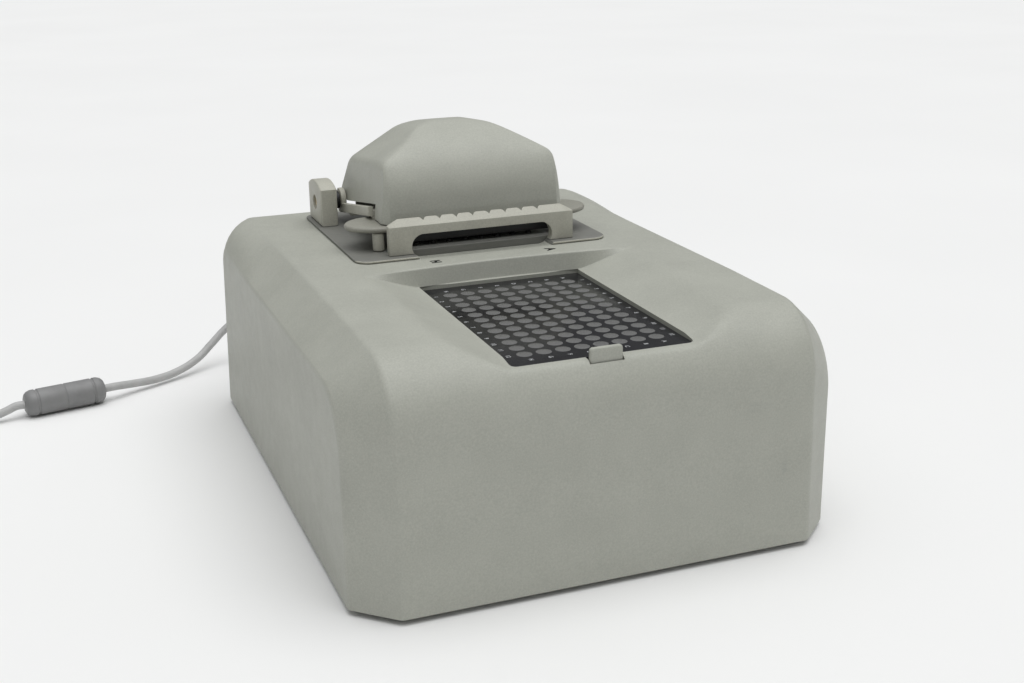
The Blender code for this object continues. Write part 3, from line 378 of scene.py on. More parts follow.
def hood_plastic():
    """The housing's plastic, with a few rubbed marks of use at the right of its front."""
    finish, base = putty_plastic("hood_putty", PUTTY)
    wear = 0.0
    for size, centre, turn in (((0.0095, 0.02, 0.0016), (0.0700, -0.158, 0.0738), 8.5),
                               ((0.0060, 0.02, 0.0011), (0.0670, -0.158, 0.0712), 12.0),
                               ((0.0018, 0.02, 0.0080), (0.0842, -0.158, 0.0413), 4.0)):
        wear = finish.math("MAXIMUM", wear, finish.spot(size, centre, turn))
    streaks = finish.noise(260.0, 5, 0.65, finish.local((5.0, 1.0, 1.0), turn=8.5))
    broken = finish.math("MULTIPLY", wear, finish.ramp(streaks, (0.40, 0.0), (0.58, 1.0)))
    worn = finish.add("Mix", {"Factor": finish.math("MULTIPLY", broken, 0.40), 6: base,
                              7: (0.300, 0.305, 0.285, 1.0)}, data_type="RGBA")
    finish.drive("Base Color", worn.outputs[2])
    return finish.material


def disc_print():
    """Grey ink laid down as a fine screen of dots."""
    finish = Finish("disc_print", 0.24, Specular_IOR_Level=0.22)
    dots = finish.cells(1650.0, 0.15)
    finish.tint(dots, (0.20, (0.215, 0.215, 0.212)), (0.42, (0.125, 0.125, 0.124)),
                (0.60, (0.078, 0.078, 0.079)))
    return finish.material


def ink(name, colour):
    return grained(name, 0.50, (2200.0, 3), shade(colour, 0.85), colour, Specular_IOR_Level=0.12)


def board():
    """Green solder mask over a faint pattern of copper lines."""
    finish = Finish("circuit_board", 0.40)
    lines = finish.cells(420.0, 0.4)
    finish.tint(lines, (0.10, (0.030, 0.190, 0.080)), (0.30, (0.014, 0.110, 0.048)),
                (0.70, (0.010, 0.085, 0.038)))
    finish.bump(lines, 0.15, 0.00005)
    return finish.material


def jacket(name, colour, roughness=0.48):
    """Extruded or moulded lead plastic with a little grime."""
    finish = Finish(name, roughness)
    finish.tint(finish.noise(70.0, 6, 0.65), (0.28, shade(colour, 0.86)), (0.55, colour),
                (0.80, shade(colour, 1.06)))
    finish.gloss(finish.noise(240.0, 4), (0.3, roughness - 0.06), (0.7, roughness + 0.10))
    finish.bump(finish.noise(1300.0, 3), 0.14, 0.00008)
    return finish.material


def make_looks():
    """Each look's material, with the name of its slot."""
    putty, panel = "putty_plastic", "gloss_black_panel"
    steel, rubber = "stainless_steel", "black_rubber"
    return {
        "hood": (hood_plastic(), putty),
        "putty": (putty_plastic("putty_plastic", PUTTY)[0].material, putty),
        "warm": (putty_plastic("warm_putty", WARM_PUTTY, 0.42)[0].material, putty),
        # The cover takes the same putty made 1.06 times lighter: painted light on the dome.
        "cover": (putty_plastic("cover_putty_painted_light", shade(PUTTY, 1.06))[0].material, putty),
        # The arm's plate and inner wall take the warm putty darkened to 0.64: painted shade from the
        # cover above them.
        "arm": (putty_plastic("arm_putty_painted_shade", shade(WARM_PUTTY, 0.64), 0.44)[0].material, putty),
        "dark": (ink("dark_print", (0.010, 0.010, 0.010)), putty),
        "white": (ink("white_print", (0.62, 0.63, 0.64)), panel),
        "disc": (disc_print(), panel),
        "gloss": (grained("gloss_black_panel", 0.16, (90.0, 4), (0.008, 0.008, 0.010),
                          (0.014, 0.014, 0.017), ((300.0, 5), (0.35, 0.13), (0.75, 0.24)),
                          ((240.0, 2), 0.03, 0.0001), Specular_IOR_Level=0.18), panel),
        "grey": (lined("satin_grey", (0.192, 0.193, 0.176), (0.222, 0.222, 0.204), 0.46, 0.10,
                       (700.0, 6.0), (90.0, -0.04, 0.08), (0.08, 0.00004)), "satin_grey_plate"),
        "black": (grained("anodised_black", 0.42, (60.0, 4), (0.016, 0.016, 0.018),
                          (0.028, 0.028, 0.030), ((500.0, 4), (0.3, 0.36), (0.7, 0.50)),
                          ((3000.0, 2), 0.10, 0.00005), 0.35), "black_anodised"),
        "steel": (lined("stainless_steel", (0.52, 0.52, 0.51), (0.66, 0.66, 0.65), 0.30), steel),
        # The pedestals' steel is darkened nearly to black: painted shade, for posts that sit in the
        # shade of the slot.
        "shaded_probe": (lined("painted_shade_steel", (0.045, 0.045, 0.045), (0.080, 0.080, 0.080), 0.50), steel),
        "brass": (lined("brass", (0.52, 0.36, 0.13), (0.70, 0.52, 0.22), 0.34), "brass"),
        "rubber": (grained("black_rubber", 0.80, (200.0, 5), (0.014, 0.014, 0.014),
                           (0.034, 0.033, 0.032), relief=((1400.0, 4), 0.30, 0.0001)), rubber),
        "tie": (jacket("tie_black", (0.030, 0.030, 0.032), 0.55), rubber),
        "board": (board(), "circuit_board"),
        "lead": (jacket("lead_jacket", (0.46, 0.46, 0.455)), "lead_jacket"),
        "ferrite": (jacket("ferrite_cover", (0.235, 0.235, 0.235), 0.42), "ferrite_sleeve"),
        "glass": (grained("fibre_end", 0.40, (4000.0, 2), (0.020, 0.022, 0.026),
                          (0.036, 0.040, 0.048), Specular_IOR_Level=0.2), steel),
    }


LOOKS = make_looks()


# Making pieces

def piece(name, mesh, look, body="base", nodes=(), second=None):
    """Links a mesh as one visible piece in a look's material, riding on a body.

    It stands in for any nodes given, and may have faces in a second look's material.
    """
    obj = linked(name, mesh)
    for each in filter(None, (look, second)):
        mesh.materials.append(LOOKS[each][0])
    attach(obj, body)
    if nodes:
        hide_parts(*nodes)
    return obj


def skin(node, mesh, look, body="base", second=None):
    """A piece in place of one node of the model, and named after it."""
    return piece(f"{node}_skin", mesh, look, body, [node], second)


def mesh_of(builder, name="mesh"):
    bmesh.ops.recalc_face_normals(builder, faces=builder.faces)
    mesh = bpy.data.meshes.new(name)
    builder.to_mesh(mesh)
    builder.free()
    return mesh


def evaluated(obj):
    """A new mesh of an object's shape, with its modifiers applied."""
    bpy.context.view_layer.update()
    graph = bpy.context.evaluated_depsgraph_get()
    return bpy.data.meshes.new_from_object(obj.evaluated_get(graph))


def welded(mesh):
    """Joins the points of a mesh that lie on each other."""
    builder = bmesh.new()
    builder.from_mesh(mesh)
    bmesh.ops.remove_doubles(builder, verts=builder.verts, dist=1e-6)
    return mesh_of(builder)


def skin_mesh(rings, caps=(True, True), core=0):
    """A skin through rings with the same number of points each, with its ends closed or open.

    The last core strips and the cap after them take the second material.
    """
    builder = bmesh.new()
    rows = [[builder.verts.new(point) for point in ring] for ring in rings]
    for number, (row, after) in enumerate(zip(rows, rows[1:]), 1):
        for i in range(len(row)):
            j = (i + 1) % len(row)
            face = builder.faces.new((row[i], row[j], after[j], after[i]))
            face.material_index = int(number >= len(rows) - core)
    for wanted, row, index in zip(caps, (rows[0], rows[-1]), (0, min(core, 1))):
        if wanted:
            builder.faces.new(row).material_index = index
    return mesh_of(builder)


def box_mesh(low, high, rounding=0.0, segments=3):
    """A box between two corners, with rounded edges."""
    low, high = Vector(low), Vector(high)
    builder = bmesh.new()
    bmesh.ops.create_cube(builder, size=1.0)
    bmesh.ops.scale(builder, vec=high - low, verts=builder.verts)
    bmesh.ops.translate(builder, vec=(low + high) / 2, verts=builder.verts)
    if rounding:
        bmesh.ops.bevel(builder, geom=builder.edges[:], offset=rounding, segments=segments,
                        profile=0.5, affect="EDGES")
    return mesh_of(builder)


def turned_mesh(profile, start, end, sides=40, core=0):
    """A turned piece: (radius, distance) points from one centre point to the other."""
    start, end = Vector(start), Vector(end)
    turn = Vector((0, 0, 1)).rotation_difference(end - start).to_matrix()
    return skin_mesh([[start + turn @ Vector((a, b, along)) for a, b in circle((0, 0), radius, sides)]
                      for radius, along in profile], core=core)


def rod_mesh(radius, start, end, sides=40):
    """A plain round rod from one centre point to the other."""
    return turned_mesh([(radius, 0.0), (radius, math.dist(start, end))], start, end, sides)


AXES = {
    "x": Matrix(((0, 0, 1), (1, 0, 0), (0, 1, 0))),
    "y": Matrix(((1, 0, 0), (0, 0, -1), (0, 1, 0))),
    "z": Matrix.Identity(3),
}


def plate_mesh(outlines, low, high, rounding, axis):
    """A flat outline, with any holes after it, given thickness and rounded edges.

    Across z the outline is (x, y), across x it is (y, z), and across y it is (x, z).
    """
    curve = with_settings(bpy.data.curves.new("plate", "CURVE"), dimensions="2D", fill_mode="BOTH",
                          extrude=(high - low) / 2 - rounding, bevel_depth=rounding,
                          offset=-rounding, bevel_resolution=3)
    for outline in outlines:
        spline = curve.splines.new("POLY")
        spline.points.add(len(outline) - 1)
        for point, (across, up) in zip(spline.points, outline):
            point.co = (across, up, 0.0, 1.0)
        spline.use_cyclic_u = True
    source = linked("plate", curve)
    mesh = evaluated(source)
    bpy.data.objects.remove(source, do_unlink=True)
    middle = (low + high) / 2
    shift = AXES[axis] @ Vector((0, 0, -middle if axis == "y" else middle))
    mesh.transform(Matrix.Translation(shift) @ AXES[axis].to_4x4())
    return welded(mesh)


def joined(meshes):
    """Several meshes as one."""
    builder = bmesh.new()
    for mesh in meshes:
        builder.from_mesh(mesh)
        bpy.data.meshes.remove(mesh)
    mesh = bpy.data.meshes.new("joined")
    builder.to_mesh(mesh)
    builder.free()
    return mesh


def modified(obj, kind, **settings):
    """Applies one modifier to a piece."""
    with_settings(obj.modifiers.new(kind, kind), **settings)
    mesh = evaluated(obj)
    obj.modifiers.clear()
    obj.data = mesh


def carve(obj, mesh, operation="DIFFERENCE"):
    """Cuts a shape out of a piece, or joins it on."""
    cutter = linked("cutter", mesh)
    modified(obj, "BOOLEAN", operation=operation, solver="EXACT", object=cutter)
    bpy.data.objects.remove(cutter, do_unlink=True)


def smooth(obj, angle=32.0):
    obj.data.shade_smooth()
    obj.data.set_sharp_from_angle(angle=math.radians(angle))
    return obj


def arc(centre, radii, start, end, steps):
    """Points of a round arc or, with two radii, an elliptical one, angles in degrees."""
    across, up = radii if isinstance(radii, tuple) else (radii, radii)
    turns = [math.radians(start + (end - start) * step / steps) for step in range(steps + 1)]
    return [(centre[0] + across * math.cos(turn), centre[1] + up * math.sin(turn))
            for turn in turns]


def circle(centre, radius, count=48):
    return arc(centre, radius, 0.0, 360.0 - 360.0 / count, count - 1)


def rounded(corners, steps):
    """An open line through corners, each given as ((a, b), radius), with its corners rounded."""
    points = [corners[0][0]]
    for (before, _), (corner, radius), (after, _) in zip(corners, corners[1:], corners[2:]):
        corner = Vector(corner)
        back = (Vector(before) - corner).normalized()
        ahead = (Vector(after) - corner).normalized()
        half = back.angle(ahead) / 2
        cut = radius / math.tan(half)
        centre = corner + (back + ahead).normalized() * radius / math.sin(half)
        first = corner + back * cut - centre
        sweep = first.angle_signed(corner + ahead * cut - centre)
        for step in range(steps + 1):
            turned = first.copy()
            turned.rotate(Matrix.Rotation(-sweep * step / steps, 2))
            points.append(tuple(centre + turned))
    return points + [corners[-1][0]]


def rounded_rectangle(x0, x1, y0, y1, radius, steps=8, flats=1):
    """Points round a rectangle with round corners; each flat side is cut into flats pieces."""
    points = []
    for x, y, start in ((x1 - radius, y0 + radius, -90), (x1 - radius, y1 - radius, 0),
                        (x0 + radius, y1 - radius, 90), (x0 + radius, y0 + radius, 180)):
        points += arc((x, y), radius, start, start + 90, steps)
    divided = []
    for number, (here, there) in enumerate(zip(points, points[1:] + points[:1])):
        divided.append(here)
        if number % (steps + 1) == steps:
            for step in range(1, flats):
                divided.append(tuple(Vector(here).lerp(Vector(there), step / flats)))
    return divided


# Housing

def lip_rows():
    """Rows over the back lip of the trough: (distance behind the lip, share of its height)."""
    height = DECK_Z - TROUGH_FLOOR_Z
    cove, brow = 0.0008, 0.0011
    rows = [(-0.0075, 0.0), (-0.0050, 0.0), (-0.0034, 0.0)]
    for turn in range(0, 81, 16):
        angle = math.radians(turn)
        rows.append((-TROUGH_WALL_LEAN - cove + cove * math.sin(angle),
                     (cove - cove * math.cos(angle)) / height))
    for turn in range(10, 91, 16):
        angle = math.radians(turn)
        rows.append((brow - brow * math.cos(angle), 1.0 - (brow - brow * math.sin(angle)) / height))
    return rows + [(0.0016, 1.0), (0.0026, 1.0), (0.0045, 1.0)]


def housing_rows(inset, fine):
    """Rows from the bottom of the front to the bottom of the back.

    Each is the section's (y, z), the side face's (y, z), and the share of the lip's height, or
    None off the deck. An inset housing is the cavity, which is open below.
    """
    face, roll, step = (14, 28, 0.0024) if fine else (1, 8, 0.06)
    bottom = -0.02 if inset else FOOT_HEIGHT
    front, back = -HALF_DEPTH + inset, HALF_DEPTH - inset
    back_y, (side_y, side_z) = BACK_TOP_Y - BACK_ROLL, SIDE_BACK_ARC
    side_roll = (CHAMFER_Y - HALF_DEPTH + SIDE_ROLL[0], SIDE_TOP_Z - SIDE_ROLL[1])
    side_radii = (SIDE_ROLL[0] - inset, SIDE_ROLL[1] - inset)
    side_back_radii = (SIDE_BACK_Y - inset - side_y, SIDE_TOP_Z - inset - side_z)
    front_arc = arc((ROLL_Y, ROLL_Z), FRONT_ROLL - inset, 180, 90, roll)
    back_arc = arc((back_y, DECK_Z - BACK_ROLL), BACK_ROLL - inset, 90, 0, roll)
    side_front_arc = arc(side_roll, side_radii, 180, 90, roll)
    side_back_arc = arc(SIDE_BACK_ARC, side_back_radii, 90, 0, roll)
    section = [*np.linspace((front, bottom), front_arc[0], face, endpoint=False), *front_arc]
    side = [*np.linspace((front + CHAMFER_Y, bottom), side_front_arc[0], face, endpoint=False),
            *side_front_arc]
    shares = [None if z < DECK_Z - 0.022 else 0.0 for _, z in section]
    lip = [(TROUGH_BACK_Y + away, share) for away, share in lip_rows()]
    ahead = np.arange(ROLL_Y + step, lip[0][0] - step / 2, step)
    behind = np.arange(lip[-1][0] + step, back_y - step / 2, step)
    deck = [(y, 0.0) for y in ahead] + (lip if fine else []) + [(y, 1.0) for y in behind]
    for y, share in deck:
        z = np.interp(y, (ROLL_Y, CROWN_Y), (DECK_Z - CROWN_DROP, DECK_Z)) - inset
        section.append((y, z))
        side.append((np.interp(y, (ROLL_Y, 0.0, back_y), (side_roll[0], 0.0, side_y)),
                     SIDE_TOP_Z - inset))
        shares.append(share)
    section += [*back_arc, *np.linspace(back_arc[-1], (back, bottom), face + 1)[1:]]
    side += [*side_back_arc,
             *np.linspace(side_back_arc[-1], (back - CHAMFER_Y, bottom), face + 1)[1:]]
    shares += [None] * (len(section) - len(shares))
    return [(*a, *b, share) for a, b, share in zip(section, side, shares)]


def housing_columns():
    """Stations across the right half: x, and the shares of the section, side face and its inset."""
    across = HALF_WIDTH - EDGE_X
    reach = EDGE_SOFT / math.hypot(across, CHAMFER_Y)
    columns = [(x, 1.0, 0.0, 0.0) for x in np.linspace(0.0, EDGE_X - EDGE_SOFT, 62)]

    def bend(start, corner, end):
        for t in np.linspace(0, 1, 9)[1:]:
            shares = ((1 - t) ** 2, 2 * t * (1 - t), t ** 2)
            columns.append(tuple(sum(s * p[i] for s, p in zip(shares, (start, corner, end)))
                                 for i in range(4)))

    bend(columns[-1], (EDGE_X, 1, 0, 0), (EDGE_X + reach * across, 1 - reach, reach, 0))
    for t in np.linspace(reach, 1 - reach, 7)[1:]:
        columns.append((EDGE_X + t * across, 1 - t, t, 0.0))
    bend(columns[-1], (HALF_WIDTH, 0, 1, 0), (HALF_WIDTH, 0, 0, 1))
    return columns


def swelling(share, y, z):
    """How far a point of the side chamfer stands out along the chamfer's normal."""
    rise = min(1.0, max(0.0, (y - BULGE_Y[0]) / (BULGE_Y[1] - BULGE_Y[0])))
    rise *= rise * (3.0 - 2.0 * rise) * min(1.0, max(0.0, z / SIDE_BACK_ARC[1]))
    return BULGE * 4.0 * share * (1.0 - share) * rise


def in_trough(x, y, z, share):
    """Moves a point of the deck into the trough: along the bowed lip, and down to the floor."""
    bow = -TROUGH_LIP_BOW * (min(abs(x), TROUGH_HALF_X) / BOW_HALF_X) ** 2
    y += bow * float(np.interp(y, BOW_FADE_Y, (0.0, 1.0, 1.0, 0.0)))
    out = max(0.0, abs(x) - TROUGH_FLAT_X) / (TROUGH_HALF_X - TROUGH_FLAT_X)
    floor = TROUGH_FLOOR_Z + (DECK_Z - TROUGH_FLOOR_Z) * out ** 1.15
    floor += np.interp(y, *zip(*RUN_OUT)) * (1.0 - min(out, 1.0))
    share_floor = min(1.0, max(0.0, 0.5 + 0.5 * (z - floor) / TROUGH_SOFT))
    low = z + (floor - z) * share_floor - TROUGH_SOFT * share_floor * (1.0 - share_floor)
    return y, low + (z - low) * share


def housing_mesh(inset=0.0, fine=True):
    rows = housing_rows(inset, fine)
    if fine:
        half = housing_columns()
        columns = [(-x, *shares) for x, *shares in reversed(half[1:])] + half
    else:
        side_x, edge_x = HALF_WIDTH - inset, EDGE_X - inset * 0.42
        half = [(edge_x + (side_x - edge_x) * t, 1 - t, t, 0) for t in (0, 0.25, 0.5, 0.75, 1)]
        columns = [(-x, *shares) for x, *shares in reversed(half)] + half
    out = Vector((DECK_Z - SIDE_TOP_Z, HALF_WIDTH - EDGE_X)).normalized()
    builder = bmesh.new()
    grid = []
    for y, z, v, w, share in rows:
        inner_y = v - math.copysign(EDGE_SOFT, v) * min(1.0, abs(v) / SOFT_FADE_Y)
        fade = max(0.0, min(1.0, (w - SOFT_FADE_Z) / (SIDE_TOP_Z - SOFT_FADE_Z)))
        inner_z = w - EDGE_SOFT * fade
        row = []
        for x, section, side, inner in columns:
            point_y = section * y + side * v + inner * inner_y
            point_z = section * z + side * w + inner * inner_z
            if fine and section == 1.0 and share is not None:
                point_y, point_z = in_trough(x, point_y, point_z, share)
            rise = swelling(1.0 - section, point_y, point_z)
            row.append(builder.verts.new((x + math.copysign(rise * out.x, x), point_y,
                                          point_z + rise * out.y)))
        grid.append(row)
    for row, after in zip(grid, grid[1:]):
        for i in range(len(row) - 1):
            builder.faces.new((row[i], row[i + 1], after[i + 1], after[i]))
    builder.faces.new([row[0] for row in grid])
    builder.faces.new([row[-1] for row in grid])
    builder.faces.new(grid[0] + grid[-1][::-1])
    return mesh_of(builder)


def panel_outline(clear):
    """The well map's edge and, with a clearance, that of its recess; round only at the front."""
    radius = PANEL_CORNER + clear
    x0, x1, y0 = PANEL_LOW.x - clear, PANEL_HIGH.x + clear, PANEL_LOW.y - clear
    back = [(x1, PANEL_HIGH.y + clear), (x0, PANEL_HIGH.y + clear)]
    return (arc((x1 - radius, y0 + radius), radius, -90, 0, 8) + back
            + arc((x0 + radius, y0 + radius), radius, 180, 270, 8))


def make_hood():
    hood = piece("hood_skin", housing_mesh(), "hood", nodes=["hood_shell"])
    cavity = linked("cavity", housing_mesh(WALL, fine=False))
    front, back = BLOCK_Y
    carve(cavity, box_mesh((-BLOCK_HALF_X, front, BLOCK_Z), (BLOCK_HALF_X, back, DECK_Z)))
    carve(hood, cavity.data.copy())
    bpy.data.objects.remove(cavity, do_unlink=True)
    carve(hood, skin_mesh([[(x, y, z) for x, y in panel_outline(0.0005)]
                           for z in (PANEL_LOW.z - GAP, TROUGH_FLOOR_Z + CLEAR)]))
    low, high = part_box("retaining_tab")
    carve(hood, box_mesh((low.x - CLEAR, low.y - 0.0007, 0.080),
                         (high.x + CLEAR, PANEL_LOW.y, DECK_Z)))
    below, above = THROUGH_DECK
    carve(hood, box_mesh((-HEAD_HALF_X - CLEAR, HEAD_FRONT_Y - CLEAR, below),
                         (HEAD_HALF_X + CLEAR, HEAD_BACK_Y + CLEAR, above)))
    carve(hood, slot_mesh(PLATFORM_LOW.y, HEAD_FRONT_Y))
    carve(hood, rod_mesh(PLUNGER_HOLE, (0, PLUNGER_Y, below), (0, PLUNGER_Y, above)))
    x0, x1, z0, z1 = REAR_WINDOW
    carve(hood, box_mesh((x0, 0.130, z0), (x1, 0.175, z1)))
    smooth(hood, 30.0)


# Well map

def print_mesh(marks, size, z, weight=0.0):
    """Flat letters: (text, x, y), turned so that their tops face the operator's right."""
    meshes = []
    for text, x, y in marks:
        curve = bpy.data.curves.new("mark", "FONT")
        source = linked("mark", with_settings(curve, body=text, size=size, extrude=0.00002,
                                              offset=weight, align_x="CENTER", align_y="CENTER"))
        source.location = (x, y, z)
        source.rotation_euler = (0, 0, -math.pi / 2)
        mesh = evaluated(source)
        mesh.transform(source.matrix_world)
        bpy.data.objects.remove(source, do_unlink=True)
        meshes.append(mesh)
    return joined(meshes)


def make_well_map():
    panel = plate_mesh([panel_outline(0.0)], PANEL_LOW.z, PANEL_HIGH.z, 0.00025, "z")
    smooth(piece("well_map_skin", panel, "gloss", nodes=["well_map_panel"]), 50.0)
    top = PANEL_HIGH.z
    middle_y = (PANEL_LOW.y + PANEL_HIGH.y) / 2
    ys = [middle_y - (number - (COLUMNS - 1) / 2) * PITCH for number in range(COLUMNS)]
    radius, thick = 0.0035, 0.00005
    profile = [(radius, 0.0), (radius, thick * 0.6), (radius - thick, thick)]
    discs = [turned_mesh(profile, (x, y, top), (x, y, top + thick)) for x in CHANNEL_X for y in ys]
    smooth(piece("well_map_discs", joined(discs), "disc"))
    marks = []
    for letter, x in zip("HGFEDCBA", CHANNEL_X):
        marks += [(letter, x, ys[-1] - PITCH * 0.86), (letter, x, ys[0] + PITCH * 0.80)]
    for number, y in enumerate(ys, 1):
        marks += [(str(number), side * (CHANNEL_X[-1] + PITCH * 0.84), y) for side in (-1, 1)]
    piece("well_map_letters", print_mesh(marks, 0.0030, top + PRINT_RISE), "white")
    ends = [(letter, x + 0.0007, -0.0072) for letter, x in (("H", CHANNEL_X[0]), ("A", CHANNEL_X[-1]))]
    piece("deck_letters", print_mesh(ends, 0.0068, DECK_Z + PRINT_RISE, 0.00038), "dark")


def make_tab():
    low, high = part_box("retaining_tab")
    corner = 0.0016
    outline = [(low.x, low.z), (high.x, low.z)]
    outline += arc((high.x - corner, high.z - corner), corner, 0, 90, 8)
    outline += arc((low.x + corner, high.z - corner), corner, 90, 180, 8)
    tab = plate_mesh([outline], low.y, high.y, 0.0009, "y")
    smooth(skin("retaining_tab", tab, "putty", "tab"), 50.0)


# Platform, guide bar and measuring head

def round_slot():
    end = SLOT_HALF_X - SLOT_RADIUS
    return (arc((end, SLOT_Z), SLOT_RADIUS, -90, 90, 24)
            + arc((-end, SLOT_Z), SLOT_RADIUS, 90, 270, 24))


def slot_mesh(front, back):
    """The pipette slot's shape between two distances, to cut with."""
    return skin_mesh([[(x, y, z) for x, z in round_slot()] for y in (front, back)])


def make_platform():
    low, high = PLATFORM_LOW, PLATFORM_HIGH
    head = rounded_rectangle(-HEAD_HALF_X - CLEAR, HEAD_HALF_X + CLEAR, HEAD_FRONT_Y - CLEAR,
                             HEAD_BACK_Y + CLEAR, 0.0004, 2)
    hole = circle((0, PLUNGER_Y), PLUNGER_HOLE, 32)
    corner = 0.008
    outline = rounded_rectangle(low.x, high.x, low.y, high.y, corner, 14)
    mesh = plate_mesh([outline, head[::-1], hole[::-1]], low.z, high.z, 0.00045, "z")
    platform = piece("platform_skin", mesh, "grey", nodes=["platform_plate"], second="warm")
    carve(platform, slot_mesh(low.y - 0.002, HEAD_FRONT_Y))
    # Faces that look to the front take the lighter warm putty: a painted highlight along the plate's
    # front edge.
    for face in platform.data.polygons:
        if face.normal.y < -0.25 and face.center.y < low.y + corner:
            face.material_index = 1
    smooth(platform, 40.0)


def notch_mesh(x):
    """A tip guide in the back edge of the bar: two round shoulders that meet in a point."""
    half, depth, sharpness, back = 0.0022, 0.0019, 1.9, BAR_HIGH.y
    outline = [(x - half, back + 0.003)]
    for share in np.linspace(-1, 1, 21):
        outline.append((x + half * share, back - depth * (1.0 - abs(share)) ** sharpness))
    outline.append((x + half, back + 0.003))
    return skin_mesh([[(a, b, z) for a, b in outline] for z in (0.1285, 0.1385)])


def make_guide_bar():
    rings = []
    end_top = BAR_FACE_TOP_Z + 0.0003
    for x, top in ((BAR_LOW.x, end_top), (-BAR_FACET_HALF_X, BAR_HIGH.z),
                   (BAR_FACET_HALF_X, BAR_HIGH.z), (BAR_HIGH.x, end_top)):
        rings.append([(x, BAR_LOW.y, BAR_LOW.z), (x, BAR_LOW.y, BAR_FACE_TOP_Z),
                      (x, BAR_HIGH.y, top), (x, BAR_HIGH.y, BAR_LOW.z)])
    bar = piece("guide_bar_skin", skin_mesh(rings), "warm", nodes=["pipette_guide_bar"])
    for x in CHANNEL_X:
        carve(bar, notch_mesh(x))
    modified(bar, "BEVEL", width=0.00045, segments=3, limit_method="ANGLE",
             angle_limit=math.radians(35.0))
    carve(bar, slot_mesh(BAR_LOW.y - 0.004, BAR_HIGH.y + 0.004))
    smooth(bar, 34.0)


def pedestal_mesh(x, foot, tip):
    """A polished steel post with the end of its optical fibre in the middle of the tip."""
    radius, edge, core, sunk = 0.0016, 0.00030, 0.00035, 0.00006
    height = abs(tip - foot)
    profile = [(radius, 0.0), (radius, height - edge), (radius - edge * 0.3, height - edge * 0.3),
               (radius - edge, height), (core, height), (core, height - sunk)]
    return turned_mesh(profile, (x, PEDESTAL_Y, foot), (x, PEDESTAL_Y, tip), 32, core=1)


def make_head():
    for level, body, look in (("lower", "base", "grey"), ("upper", "arm", "black")):
        node = f"{level}_pedestal_block"
        low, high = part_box(node)
        block = skin(node, box_mesh(low, high, 0.0005), look, body)
        for x in CHANNEL_X:
            carve(block, rod_mesh(PEDESTAL_HOLE, (x, PEDESTAL_Y, low.z - 0.001),
                                  (x, PEDESTAL_Y, high.z + 0.001), 24))
        smooth(block, 30.0)
    for number, x in enumerate(CHANNEL_X, 1):
        for level, body in (("lower", "base"), ("upper", "arm")):
            node = f"{level}_pedestal_{number}"
            low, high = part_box(node)
            ends = (low.z, high.z) if level == "lower" else (high.z, low.z)
            # The pedestals take the steel darkened as painted shade, and their fibre ends take the
            # glass.
            smooth(skin(node, pedestal_mesh(x, *ends), "shaded_probe", body, "glass"))
    for side, _ in SIDES:
        low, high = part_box(f"stop_lug_{side}")
        outline = rounded_rectangle(low.x, high.x, low.y, high.y, 0.0029, 10)
        lug = plate_mesh([outline], low.z, high.z, 0.0007, "z")
        smooth(skin(f"stop_lug_{side}", lug, "warm"), 50.0)
    low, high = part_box("path_plunger")
    height, edge = high.z - low.z, 0.0007
    profile = [(PLUNGER_RADIUS, 0.0), (PLUNGER_RADIUS, height - edge)]
    profile += [(PLUNGER_RADIUS - edge + edge * math.cos(turn), height - edge + edge * math.sin(turn))
                for turn in (0.4, 0.8, 1.2, math.pi / 2)]
    rod = turned_mesh(profile, (0, PLUNGER_Y, low.z), (0, PLUNGER_Y, high.z))
    smooth(piece("plunger_skin", rod, "steel", "plunger", ["path_plunger"]))


# Hinge and arm

def hinge_place(x):
    return (x, HINGE_Y, HINGE_Z)


def make_hinge():
    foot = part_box("hinge_post_left")[0].z
    shoulder = math.degrees(math.acos(POST_HALF_DEPTH / POST_CROWN[0]))
    outline = [(HINGE_Y - POST_HALF_DEPTH, foot), (HINGE_Y + POST_HALF_DEPTH, foot)]
    outline += arc((HINGE_Y, HINGE_Z), POST_CROWN, shoulder, 180 - shoulder, 28)
    bore = circle((HINGE_Y, HINGE_Z), PIN_RADIUS + GAP)[::-1]
    for side, sign in SIDES:
        low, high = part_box(f"hinge_post_{side}")
        post = skin(f"hinge_post_{side}", plate_mesh([outline, bore], low.x, high.x, 0.0011, "x"),
                    "warm")
        rim = sign * PIN_RECESS_X
        carve(post, rod_mesh(0.0042, hinge_place(rim), hinge_place(rim + sign * 0.005), 48))
        smooth(post, 36.0)
        low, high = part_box(f"hinge_pin_{side}")
        inner, outer = (high.x, low.x) if sign < 0 else (low.x, high.x)
        length, edge, recess = high.x - low.x, 0.0005, 0.0013
        profile = [(PIN_RADIUS - edge, 0.0), (PIN_RADIUS, edge), (PIN_RADIUS, length - edge),
                   (PIN_RADIUS - edge, length), (recess, length), (recess - 0.0002, length - 0.0012)]
        pin = turned_mesh(profile, hinge_place(inner), hinge_place(outer), 48)
        smooth(skin(f"hinge_pin_{side}", pin, "brass"))


def ear_outline(inset):
    middle = sum(EAR_Y) / 2
    half = (EAR_Y[1] - EAR_Y[0]) / 2
    reach = EAR_TIP_X - ARM_WAIST_X
    right = arc((ARM_WAIST_X, middle), (reach - inset, half - inset), -90, 90, 40)
    return right + [(-x, y) for x, y in reversed(right)]


